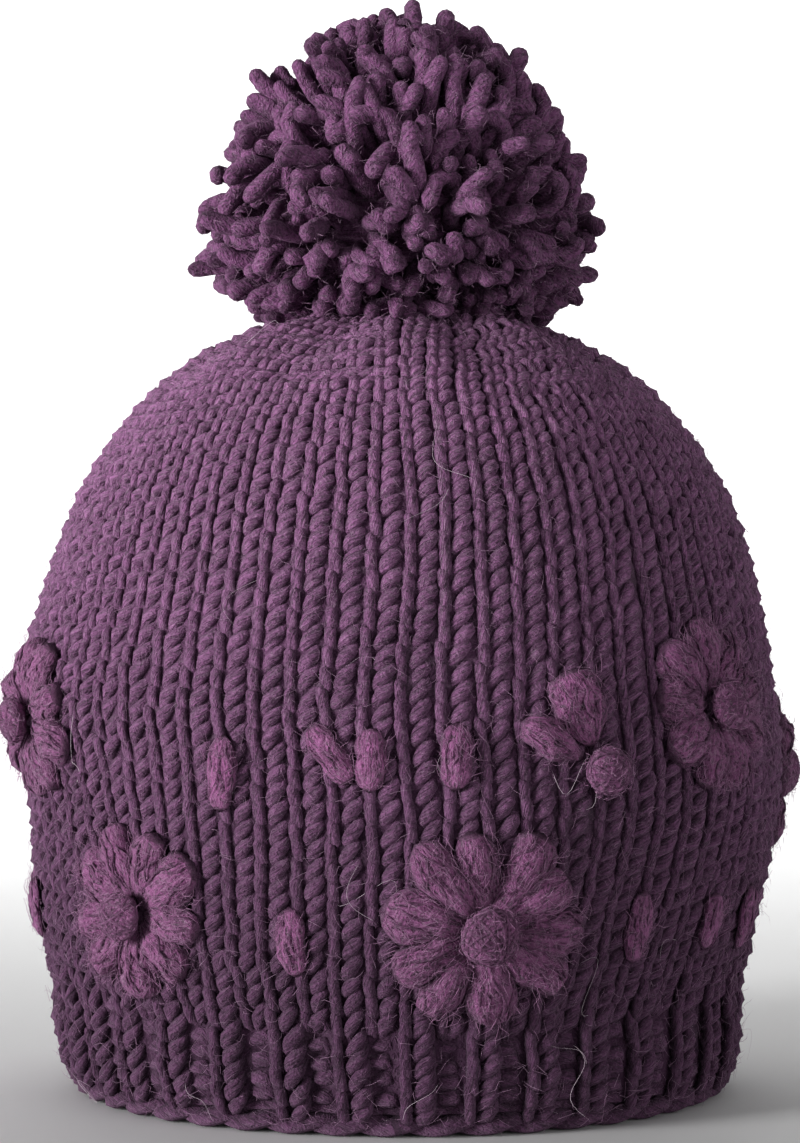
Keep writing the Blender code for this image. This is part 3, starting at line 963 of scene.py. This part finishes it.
def cast_on():
    """The cast-on edge: two yarns that wind round one line along the rim, half a turn apart.

    A third yarn lies straight over them, where the first stitches grow out of the edge.
    """
    samples = CAST_ON_TURNS * CAST_ON_SAMPLES
    angle = TAU * np.arange(samples) / samples + np.zeros((2, 1))
    turn = CAST_ON_TURNS * angle + np.array([[0.0], [np.pi]])
    level = CAST_ON_YARN + CAST_ON_APART + CAST_ON_LIFT
    lift = -CAST_ON_DEPTH * CAST_ON_YARN + CAST_ON_APART * CAST_ON_SWING * np.cos(turn)
    path = hat(angle, along_at(level), lift)
    path[..., 2] = level + CAST_ON_APART * np.sin(turn)
    thick = CAST_ON_YARN * (1 + CAST_ON_FULL * np.cos(turn))
    wound = tubes(path, away(angle, level), thick, YARN_SIDES, True)
    angle = angle[:1, ::3]
    level = OVER_LEVEL * level
    over = hat(angle, level, -OVER_DEPTH * YARN + OVER_WAVE * np.sin(RIBS * angle))
    return [wound, tubes(over, away(angle, level), YARN + 0 * angle, YARN_SIDES, True)]


def felt():
    """The felted inside: a thin cup that closes the knit's gaps, waved like the ribs.

    It stands for the hazy wool seen through the gaps, dark with painted shade from its yarn
    values. Its line runs from the top down inside and up again outside, and round the band its
    lift is a sine with a ridge at each rib and the furrows' depth between them.
    """
    top = along_at(FELT_TOP * CROWN_TOP)
    steps = int(top / FELT_STEP)
    up = FELT_START + (top - FELT_START) * np.linspace(0, 1, steps) ** FELT_GROWTH
    along = np.concatenate([up[::-1], up])[None, :, None]
    inner = np.concatenate([np.ones(steps), np.zeros(steps)])[None, :, None]
    angle = TAU * np.arange(FELT_SIDES)[None, None] / FELT_SIDES
    rows = FIRST_ROW + ROW * (np.arange(len(FURROW_DEPTHS)) + FELT_FIRST_ROW)
    sunk = np.interp(along, rows, np.array(FURROW_DEPTHS) + FELT_SUNK, right=0.0)
    ribs = 0.5 * sunk * (np.sin(RIBS * angle) - 1)
    lift = ribs - MIDDLE_DEPTH + FELT_OUT - FELT_THICK * inner
    points = hat(angle, along, lift)
    # Its first yarn column, 0.1, gives it the painted shade of a yarn's inner side
    return skin(points, columns(0.1, 0.3, 0.1 * along + 0 * lift), False, points.mean(axis=2))


def make_band(material, chance):
    """The ribbed rows and the cast-on edge."""
    parts = [knit_row(number, chance) for number in range(BAND_ROWS)] + cast_on()
    make_piece("rib_band_yarn", parts, material, ["rib_band"], KNIT_LEAN)


def make_crown(material, chance):
    """The dome's rows, in a few pieces from the band to the top, and the felted inside."""
    last = int((WHOLE_WAY - FIRST_ROW) / ROW)
    while radius_at(FIRST_ROW + ROW * last) < TOP_RADIUS:
        last -= 1
    row = BAND_ROWS
    for number, rows in enumerate(PIECE_ROWS, 1):
        stop = min(row + rows, last + 1)
        parts = [knit_row(i, chance) for i in range(row, stop)]
        make_piece(f"crown_yarn_{number}", parts, material, ["crown"], KNIT_LEAN)
        row = stop
    make_piece("felted_inside_painted_shade", [felt()], material, ["crown", "rib_band"])


def ball_rings(samples, sides):
    """Directions in rings from the bottom of a ball to its top, and their tilt and turn."""
    tilt = np.linspace(np.pi, 0, samples)[None, :, None]
    tilt, turn = np.broadcast_arrays(tilt, -TAU * np.arange(sides) / sides)
    side = np.sin(tilt)
    return columns(side * np.cos(turn), side * np.sin(turn), np.cos(tilt)), tilt, turn


def even_directions(count):
    """Directions spread evenly over a ball, on a spiral from the top to the bottom."""
    step = np.arange(count)
    up = 1 - 2 * (step + 0.5) / count
    side = np.sqrt(1 - up**2)
    turn = math.pi * (3 - math.sqrt(5)) * step
    return columns(side * np.cos(turn), side * np.sin(turn), up)


def over_crown(points, clear):
    """Points lifted where they would lie less than that clear of the crown."""
    reach = np.hypot(points[..., 0], points[..., 1])
    floor = np.interp(reach, RADIUS[::-1], HEIGHT[::-1]) + clear
    lifted = points.copy()
    lifted[..., 2] = np.maximum(points[..., 2], floor)
    return lifted


def egg_point(ball):
    """Points of a ball of radius one, set into the pompom's egg.

    The ball is stretched to the pompom's width and to its height over and under its widest
    place, and narrows upward by the square of the rise.
    """
    lowest = CROWN_TOP - POMPOM_SINK
    widest = lowest + POMPOM_WIDEST * POMPOM_HEIGHT
    rise = np.where(ball[..., 2] > 0, lowest + POMPOM_HEIGHT - widest, widest - lowest)
    wide = POMPOM_WIDTH / 2 * (1 - POMPOM_TAPER * np.maximum(ball[..., 2], 0) ** 2)
    return ball * columns(wide, wide, rise) + (0.0, 0.0, widest)


def pompom_paths(chance):
    """The lines of the pompom's ends of yarn, and the share of the way along them.

    Each sets out from the core, and its heading tilts over from straight out to sideways, and
    turns round while it does, so that it bends over its neighbours or curls up. The sideways
    direction flows: it is a sum of sines over the ball, with some chance added. Each line is
    then drawn out or in so that its furthest point reaches the pompom's outside, or a little
    past it where the end is a stray one.
    """
    each = strand_draws(chance, END_COUNT)
    straight = unit(even_directions(END_COUNT) + chance.normal(0, END_SLIP, (END_COUNT, 3)))
    currents = chance.normal(0, CURRENT_SIZE, (CURRENTS, 3))
    pulls = chance.normal(0, 1.0, (CURRENTS, 3))
    swing = np.sin(straight @ currents.T + chance.uniform(0, TAU, CURRENTS))
    flow = unit((swing[..., None] * pulls).sum(axis=1))
    flow = flow + chance.normal(0, FLOW_CHANCE, (END_COUNT, 3)) - (0.0, 0.0, FLOW_DOWN)
    aside = square_to(flow, straight)[:, None]
    straight = straight[:, None]
    other = np.cross(straight, aside)
    tip = 1 - END_TIP * np.array(TIP_RINGS)
    shaft = np.linspace(0, 1 - END_TIP, END_SAMPLES - len(TIP_RINGS))
    share = np.append(shaft, tip)[None, :, None]
    bent = np.clip((share - END_STRAIGHT) / (1 - END_STRAIGHT), 0, 1) ** END_BEND
    stray = each(0, 1) < STRAY_ENDS
    tilt = np.where(stray, STRAY_TILT, each(*END_TILT)) * bent
    tilt = tilt + TILT_SWAY * np.sin(each(0, TAU) + 8 * share)
    turned = chance.normal(0, END_TURN, (END_COUNT, 1, 1)) * bent
    turned = turned + TURN_SWAY * np.sin(each(0, TAU) + 7 * share)
    sideways = aside * np.cos(turned) + other * np.sin(turned)
    heading = straight * np.cos(tilt) + sideways * np.sin(tilt)
    step = np.diff(share, axis=1, prepend=0) * END_LENGTH * each(*END_STEPS)
    run = np.cumsum(heading * step, axis=1)
    further = STRAY_REACH * (1 - straight[..., 2:] ** 2)
    reach = each(*END_REACH) - END_YARN / POMPOM_HEIGHT + np.where(stray, further, 0.0)
    furthest = np.linalg.norm(straight * END_ROOT + run, axis=-1).max(axis=1)[:, None, None]
    outward = (run * straight).sum(-1, keepdims=True)
    drawn = (reach - END_ROOT) / (furthest - END_ROOT)
    ball = straight * (END_ROOT + outward * drawn) + (run - straight * outward)
    ball = ball * np.minimum(1, reach / np.linalg.norm(ball, axis=-1, keepdims=True))
    return over_crown(egg_point(ball), POMPOM_CLEAR), share


def pompom_ends(chance):
    """The pompom's cut ends of yarn, with round tips."""
    path, share = pompom_paths(chance)
    thick = END_YARN * chance.uniform(*END_THICK, (END_COUNT, 1))
    tip = np.clip((1 - share[..., 0]) / END_TIP, 0, 1)
    lumps = np.sin(LUMP_TURNS * share[..., 0] + chance.uniform(0, TAU, (END_COUNT, 1)))
    thick = thick * (1 + LUMP_SIZE * lumps) * np.sqrt(1 - (1 - tip) ** 2)
    rough = 1 + chance.normal(0, END_ROUGH, (*thick.shape, END_SIDES))
    middle = path.mean(axis=(0, 1))
    return tubes(path, unit(path - middle), thick[..., None] * rough, END_SIDES), path


def egg(share):
    """The pompom's inside: the same egg, smaller."""
    direction, tilt, turn = ball_rings(CORE_SAMPLES, CORE_SIDES)
    points = over_crown(egg_point(direction * share), 0.0)
    # Its yarn columns give it the wool's painted shade: darker towards -X and near its top
    return skin(points, columns(np.cos(turn), np.sin(turn), 0.05 * tilt), False, points[:, :, 0])


def make_pompom(material, chance):
    """The pompom's ends of yarn round its inside. Returns the ends' paths."""
    ends, paths = pompom_ends(chance)
    make_piece("pompom_yarn", [ends, egg(CORE_SHARE)], material, ["pompom"])
    return paths


Pads = namedtuple("Pads", "turn start stop width rise")


def pad_point(place, pads, share, side, lift):
    """Points of pads that lie on the knit: forward by a share of their length, and aside."""
    forward = pads.start + (pads.stop - pads.start) * share
    right = forward * np.sin(pads.turn) + side * np.cos(pads.turn)
    upward = forward * np.cos(pads.turn) - side * np.sin(pads.turn)
    return around(place, right, upward, lift)


def pad_swell(share, lean):
    """How full a pad is along its length: a plump oval, with its widest part past the middle."""
    return np.clip(1 - np.abs(2 * share**lean - 1) ** 2.4, 0, 1) ** 0.5


def pad_back(pads, share, side_share, lean):
    """How wide pads are at a share of their length, and how high at a share of that width."""
    full = pad_swell(share, lean)
    high = pads.rise * full**RISE_POWER * np.clip(1 - side_share**2, 0, 1) ** 0.4
    return pads.width / 2 * full, high


def pad_skins(place, pads, chance, ridges=3.0, lean=1.0):
    """Brushed stitches: flattened rolls of wool, ridged by the strands that they are laid of.

    Round a pad goes a turning angle, whose cosine gives the way across and whose sine the rise
    above the knit. The ridges are the size of a sine across the pad, which wanders along it,
    and the pad's sides are uneven by another.
    """
    share = np.linspace(0, 1, PAD_SAMPLES)[None, :, None]
    turn = TAU * (np.arange(PAD_SIDES)[None, None] + 0.5) / PAD_SIDES
    full = pad_swell(share, lean)
    count = len(pads.turn)
    each = strand_draws(chance, count)
    wander = RIDGE_WANDER * np.sin(TAU * (share * 0.9 + each(0, 1)))
    uneven = np.sin(TAU * (share * 1.7 + chance.uniform(0, 1, (count, 1, PAD_SIDES))))
    ridge = np.abs(np.sin(math.pi * (ridges * (np.cos(turn) + 1) / 2 + wander)))
    side = pads.width / 2 * full * np.cos(turn) * (1 + PAD_UNEVEN * uneven)
    high = pads.rise * full**RISE_POWER * np.maximum(np.sin(turn), 0.0) ** ROUND_POWER
    high = high * (RIDGE_LOW + RIDGE_RISE * ridge + chance.normal(0, PAD_ROUGH, high.shape))
    points = pad_point(place, pads, share + 0 * turn, side, SEAT_GAP * 0.5 + np.maximum(high, 0))
    length = (pads.stop - pads.start) * share
    # The first yarn column is the rise round the pad, so the wool's painted shade darkens its sides
    # where they meet the knit
    yarn = columns(np.sin(turn), PAD_WRAP * np.cos(turn) + each(0, PAD_SHIFT), length)
    return skin(points[:, :, ::-1], yarn[:, :, ::-1], False, points.mean(axis=2))


def pad_locks(place, pads, chance, lean=1.0):
    """Thin locks of wool that lie along brushed stitches and waver as they go.

    A lock keeps its share of the way across, plus two sines, and lies on the pad's back.
    """
    total = PAD_LOCKS * len(pads.turn)
    own = Pads(*(np.repeat(column, PAD_LOCKS, axis=0) for column in pads))
    each = strand_draws(chance, total)
    start = each(*LOCK_STARTS)
    share = start + (each(*LOCK_STOPS) - start) * np.linspace(0, 1, LOCK_SAMPLES)[None, :, None]
    lane = ((np.arange(total) % PAD_LOCKS + 0.5) / PAD_LOCKS * 2 - 1)[:, None, None] * LOCK_REACH
    side_share = lane + LOCK_SWAY * np.sin(each(4, 11) * share + each(0, TAU))
    side_share = side_share + LOCK_WAVER * np.sin(each(12, 20) * share + each(0, TAU))
    half, high = pad_back(own, np.clip(share, 0.03, 0.97), side_share, lean)
    high = high + each(*LOCK_LIFTS) + LOCK_SUNK * np.sin(each(5, 12) * share + each(0, TAU))
    path = pad_point(place, own, share, half * side_share, SEAT_GAP + high - LOCK_SUNK)[:, :, 0]
    outward = away(*np.array(place)) + 0 * path
    thick = own.width[..., 0] * chance.uniform(*LOCK_THICK, (total, 1))
    return tubes(path, outward, thick * LOCK_TAPER, LOCK_SIDES)


def pad_wool(place, pads, chance, ridges=3.0, lean=1.0):
    """Brushed stitches and the locks that lie along them."""
    return [pad_skins(place, pads, chance, ridges, lean), pad_locks(place, pads, chance, lean)]


def fibres(root, heading, outward, lengths, radius, chance, samples=FIBRE_SAMPLES):
    """Loose fibres of three sides: each leaves its root, bows outward and curls aside.

    The path is the root, plus the heading times the length, plus the outward direction times
    the sine of the way along, plus a sine's curl across both.
    """
    count = len(root)
    each = strand_draws(chance, count)
    share = np.linspace(0, 1, samples)[None, :, None]
    length = FIBRE_LENGTH * each(*lengths)
    bow = each(*FIBRE_BOW) * length
    curl = chance.normal(0, FIBRE_CURL, (count, 1, 1)) * length
    start = each(*FIBRE_STARTS)
    turned = each(*FIBRE_TURNS) * share + start
    across = np.cross(heading, outward)
    path = root[:, None] + heading[:, None] * length * share
    path = path + outward[:, None] * bow * np.sin(np.pi * share * 0.8)
    path = path + across[:, None] * curl * (np.sin(turned) - np.sin(start))
    path[..., 2] = np.maximum(path[..., 2], FLOOR_GAP)
    thick = radius * chance.uniform(*UNEVEN_THICK, (count, 1)) * (1.0 - FIBRE_TAPER * share[..., 0])
    return tubes(path, outward[:, None] + 0 * path, thick, FIBRE_SIDES)


def pad_fibres(place, pads, number, chance, lean=1.0):
    """Fibres that lie along brushed stitches, most of them near their edges."""
    own = Pads(*(np.repeat(column[:, 0, 0], number) for column in pads))
    total = len(own.turn)
    share = chance.uniform(0.02, 0.84, total)
    side_share = np.sin(chance.uniform(-1, 1, total) * np.pi / 2)
    half, high = pad_back(own, share, side_share, lean)
    side = half * side_share * 1.02
    root = pad_point(place, own, share, side, SEAT_GAP + high)
    ahead = pad_point(place, own, share + 0.15, side * 0.98, SEAT_GAP + high)
    outward = away(*np.array(place)) + 0 * root
    forward = unit(ahead - root)
    across = np.cross(forward, outward)
    aside = chance.normal(0, 0.7, (total, 1))
    rise = chance.normal(0.02, 0.07, (total, 1))
    heading = unit(forward + across * aside + outward * rise)
    root = root - outward * FIBRE_SUNK
    return fibres(root, heading, outward, PETAL_FIBRE_LENGTHS, BRUSHED_RADIUS, chance)


def knot_point(place, base, width, ball):
    """Points of a unit ball set on the knit as a knot, a little flattened."""
    rise = KNOT_RISE * width / KNOT_WIDTH
    lift = base + rise / 2 * (1 + ball[..., 2])
    return around(place, ball[..., 0] * width / 2, ball[..., 1] * width / 2, lift)


def knot_skins(place, base, width, chance):
    """A wound knot: a ball, and turns of yarn round it, each on a circle of its own.

    A turn is the circle square to its own pole, a little off the ball's middle.
    """
    ball, tilt, _ = ball_rings(KNOT_RINGS, KNOT_SIDES)
    points = knot_point(place, base, width, ball * KNOT_CORE)
    # The core's first yarn column, 0.8, leaves it almost free of the wool's painted shade, painted
    # light that keeps the knot bright
    core = skin(points, columns(0.8, ball[..., 1], 0.01 * tilt), False, points[:, :, 0])
    pole = even_directions(2 * KNOT_TURNS)[:KNOT_TURNS] + chance.normal(0, 0.25, (KNOT_TURNS, 3))
    pole = unit(pole * (1, 1, 0.6))[:, None]
    side = unit(np.cross(pole, (0.0, 0.0, 1.0)))
    other = np.cross(pole, side)
    turn = (TAU * np.arange(KNOT_SAMPLES) / KNOT_SAMPLES)[None, :, None]
    off = chance.normal(0, 0.22, (KNOT_TURNS, 1, 1))
    wound = unit(side * np.cos(turn) + other * np.sin(turn) + pole * off)
    wound = wound * chance.uniform(*KNOT_REACH, (KNOT_TURNS, 1, 1))
    path = knot_point(place, base, width, wound)
    middle = knot_point(place, base, width, np.zeros(3))
    thick = KNOT_YARN * width * chance.uniform(*UNEVEN_THICK, (KNOT_TURNS, 1)) * np.ones(KNOT_SAMPLES)
    return [core, tubes(path, unit(path - middle), thick, KNOT_YARN_SIDES, True)]


def knot_fibres(place, base, width, chance):
    """Fibres that swirl over a knot."""
    ball = unit(chance.normal(0, 1, (KNOT_FIBRES, 3)))
    ball[:, 2] = np.abs(ball[:, 2])
    root = knot_point(place, base, width, ball)
    outward = unit(root - knot_point(place, base, width, np.zeros(3)))
    heading = unit(np.cross(outward, chance.normal(0, 1, (KNOT_FIBRES, 3))))
    return fibres(root, heading, outward, KNOT_LENGTHS, BRUSHED_RADIUS, chance)


def place_of(angle, height):
    """The place of an angle in degrees and a height as a share of the crown's."""
    return math.radians(angle), float(along_at(height * CROWN_TOP))


def make_pads(*values):
    """Pads from numbers or lists, as arrays that fit a pad's strands, samples and sides."""
    return Pads(*(np.atleast_2d(columns(*values)).T[..., None, None]))


def flower_pads(flower, chance):
    """A flower's petals, a little uneven in turn, length, width and rise."""
    count = flower.petals
    radius = FLOWER_RADIUS * flower.radius
    turn = np.radians(flower.turn) + TAU * (np.arange(count) + 0.5) / count
    turn = turn + chance.normal(0, PETAL_SLIP, count)
    stop = radius * chance.uniform(*PETAL_LENGTHS, count)
    width = TAU * radius * PETAL_SHARE / count * chance.uniform(*PETAL_WIDTHS, count)
    rise = PETAL_RISE * chance.uniform(*PETAL_RISES, count)
    return make_pads(turn, PETAL_START * radius, stop, width, rise)


def sew(node, parts, material):
    """One embroidered piece over the solid of that name."""
    make_piece(node + "_wool", parts, material, [node])


def make_flower(flower, material, chance):
    """A flower's petals and knot. Returns its loose fibres."""
    place = place_of(flower.angle, flower.height)
    pads = flower_pads(flower, chance)
    petals = pad_wool(place, pads, chance, lean=PETAL_LEAN)
    sew(flower.name + "_petals", petals, material)
    width = KNOT_WIDTH * flower.radius * KNOT_OVER
    knot = knot_skins(place, KNOT_BASE, width, chance)
    sew(flower.name + "_knot", knot, material)
    return [
        pad_fibres(place, pads, PETAL_FIBRES, chance, PETAL_LEAN),
        knot_fibres(place, KNOT_BASE, width, chance),
    ]


def make_bud(material, painted_light_roving, chance):
    """The half-open bud. Returns its loose fibres."""
    place = place_of(BUD_ANGLE, BUD_HEIGHT)
    width = KNOT_WIDTH * BUD_KNOT_SHARE
    knot = knot_skins(place, SEAT_GAP, width, chance)
    sew("bud_knot", knot, material)
    start = width / 2 - SEAT_GAP
    turn, length, share = np.array(BUD_PETALS).T
    stop = start + BUD_RADIUS * length
    pads = make_pads(np.radians(turn), start, stop, BUD_RADIUS * share, PETAL_RISE * BUD_RISE)
    petals = pad_wool(place, pads, chance, lean=PETAL_LEAN)
    make_piece("bud_petals_wool", petals, painted_light_roving, ["bud_petal_1", "bud_petal_2"])
    return [
        pad_fibres(place, pads, PETAL_FIBRES, chance, PETAL_LEAN),
        knot_fibres(place, SEAT_GAP, width, chance),
    ]


def make_stitches(material, chance):
    """The loose stitches. Returns their loose fibres."""
    parts, fuzz, nodes = [], [], []
    for number, (angle, height, length, turn) in enumerate(STITCHES, 1):
        place = place_of(angle, height)
        half = STITCH_LENGTH * length / 2
        pads = make_pads(math.radians(turn), -half, half, STITCH_WIDTH, STITCH_RISE)
        parts += pad_wool(place, pads, chance, ridges=2.0)
        fuzz.append(pad_fibres(place, pads, STITCH_FIBRES, chance))
        nodes.append(f"loose_stitch_{number:02d}")
    make_piece("loose_stitches_wool", parts, material, nodes)
    return fuzz


def knit_fuzz(count, chance, lengths=KNIT_LENGTHS, rise=FUZZ_RISE, samples=FIBRE_SAMPLES):
    """Fibres that lie on the knit or stand off it, all over the hat."""
    angle = chance.uniform(-np.pi, np.pi, count)
    area = np.cumsum(RADIUS)
    along = np.interp(chance.uniform(0, 1, count) * area[-1], area, ALONG)
    along = np.clip(along, FUZZ_START, along_at(FUZZ_TOP * CROWN_TOP))
    root = hat(angle, along, chance.uniform(*FUZZ_LIFTS, count))
    root[:, 2] = np.maximum(root[:, 2], FUZZ_LOW)
    outward = away(angle, along)
    heading = square_to(chance.normal(0, 1, (count, 3)), outward)
    heading = unit(heading + outward * chance.uniform(0.0, rise, (count, 1)))
    return fibres(root, heading, outward, lengths, KNIT_FIBRE_RADIUS, chance, samples)


def pompom_fuzz(paths, count, chance):
    """Fibres that stand off the outer halves of the pompom's ends."""
    end = chance.integers(0, len(paths), count)
    sample = chance.integers(paths.shape[1] // 2, paths.shape[1] - 1, count)
    forward = unit(paths[end, sample + 1] - paths[end, sample - 1])
    aside = square_to(chance.normal(0, 1, (count, 3)), forward)
    root = paths[end, sample] + aside * END_YARN * 0.92
    heading = unit(forward * chance.normal(0.4, 0.6, (count, 1)) + aside * 0.7)
    across = unit(np.cross(forward, heading))
    return fibres(root, heading, across, POMPOM_LENGTHS, FIBRE_RADIUS, chance)


def make_fuzz(flower_parts, paths, chance):
    """The loose fibres of the knit, the pompom and the embroidery."""
    soft = plain_fibre("knit_fibres", KNIT_FIBRE_COLOUR)
    fuzz = [knit_fuzz(KNIT_FIBRES, chance)]
    make_piece("knit_fuzz", fuzz, soft, lean=KNIT_LEAN)
    fuzz = [pompom_fuzz(paths, POMPOM_FIBRES, chance)]
    make_piece("pompom_fuzz", fuzz, soft, lean=KNIT_LEAN)
    brushed = plain_fibre("flower_fibres", FLOWER_FIBRE_COLOUR)
    make_piece("flower_fuzz", flower_parts, brushed, lean=KNIT_LEAN)
    pale = plain_fibre("pale_hair", PALE_HAIR_COLOUR)
    hairs = knit_fuzz(STRAY_HAIRS, chance, STRAY_LENGTHS, STRAY_RISE, STRAY_SAMPLES)
    make_piece("stray_hairs", [hairs], pale, lean=KNIT_LEAN)


def make_room():
    """The pale floor, which sweeps up behind into a wall: one profile drawn out sideways."""
    turn = np.linspace(0, np.pi / 2, SWEEP_STEPS)
    sweep = SWEEP_START + SWEEP_RADIUS * np.sin(turn)
    back = np.concatenate([[FLOOR_FRONT], sweep, [SWEEP_START + SWEEP_RADIUS]])
    high = np.concatenate([[0.0], SWEEP_RADIUS - SWEEP_RADIUS * np.cos(turn), [WALL_TOP]])
    profile = columns(0.0, back, high)
    points = np.concatenate([profile - (ROOM_HALF, 0, 0), profile + (ROOM_HALF, 0, 0)])
    count = len(back)
    step = np.arange(count - 1)
    faces = columns(step, step + count, step + count + 1, step + 1)
    mesh = bpy.data.meshes.new("floor")
    mesh.from_pydata(points.tolist(), [], faces.tolist())
    mesh.shade_smooth()
    grey = (FLOOR_GREY, FLOOR_GREY, FLOOR_GREY, 1.0)
    mesh.materials.append(plain_material("pale_floor", Base_Color=grey, Roughness=0.9))
    floor = add_object("floor", mesh)


def make_light(name, place, target, size, power):
    """A soft square light that faces a point."""
    data = bpy.data.lights.new(name, "AREA")
    data.shape = "SQUARE"
    data.size = size
    data.energy = power
    light = add_object(name, data)
    aim = np.array(target) - np.array(place)
    light.location = place
    light.rotation_mode = "QUATERNION"
    light.rotation_quaternion = Vector(aim.tolist()).to_track_quat("-Z", "Y")


def make_studio():
    """The lights, and a world of plain white light."""
    for name, values in LIGHTS.items():
        make_light(name, *values)
    world = bpy.data.worlds.new("studio")
    bpy.context.scene.world = world
    world.use_nodes = True
    background = world.node_tree.nodes["Background"]
    background.inputs["Color"].default_value = (1.0, 1.0, 1.0, 1.0)
    background.inputs["Strength"].default_value = WORLD_LIGHT
    bpy.context.scene.view_settings.view_transform = "Standard"


def make_camera():
    """The camera, level with the middle of the hat and straight in front of it."""
    data = bpy.data.cameras.new("camera")
    data.sensor_fit = "AUTO"
    data.sensor_width = SENSOR
    data.lens = FOCAL_PIXELS / IMAGE_HEIGHT * SENSOR
    camera = add_object("camera", data)
    camera.location = (0.0, -CAMERA_AWAY, CAMERA_HEIGHT)
    camera.rotation_euler = (math.pi / 2, 0.0, 0.0)
    bpy.context.scene.camera = camera


def main():
    """The studio, then the hat's pieces, each part with its own chance."""
    make_camera()
    make_studio()
    make_room()
    knit = wool("knit_yarn", KNIT_WOOL)
    ends = wool("pompom_yarn", POMPOM_WOOL)
    brushed = wool("flower_roving", PETAL_WOOL)
    # Lighter roving as painted light, for the loose stitches and the bud's petals
    painted_light_roving = wool("stitch_roving_painted_light", PAINTED_LIGHT_STITCH_WOOL)
    make_band(knit, np.random.default_rng(11))
    make_crown(knit, np.random.default_rng(12))
    paths = make_pompom(ends, np.random.default_rng(13))
    chance = np.random.default_rng(14)
    loose = []
    for flower in FLOWERS:
        loose += make_flower(flower, brushed, chance)
    loose += make_bud(brushed, painted_light_roving, chance)
    loose += make_stitches(painted_light_roving, chance)
    make_fuzz(loose, paths, np.random.default_rng(15))


main()
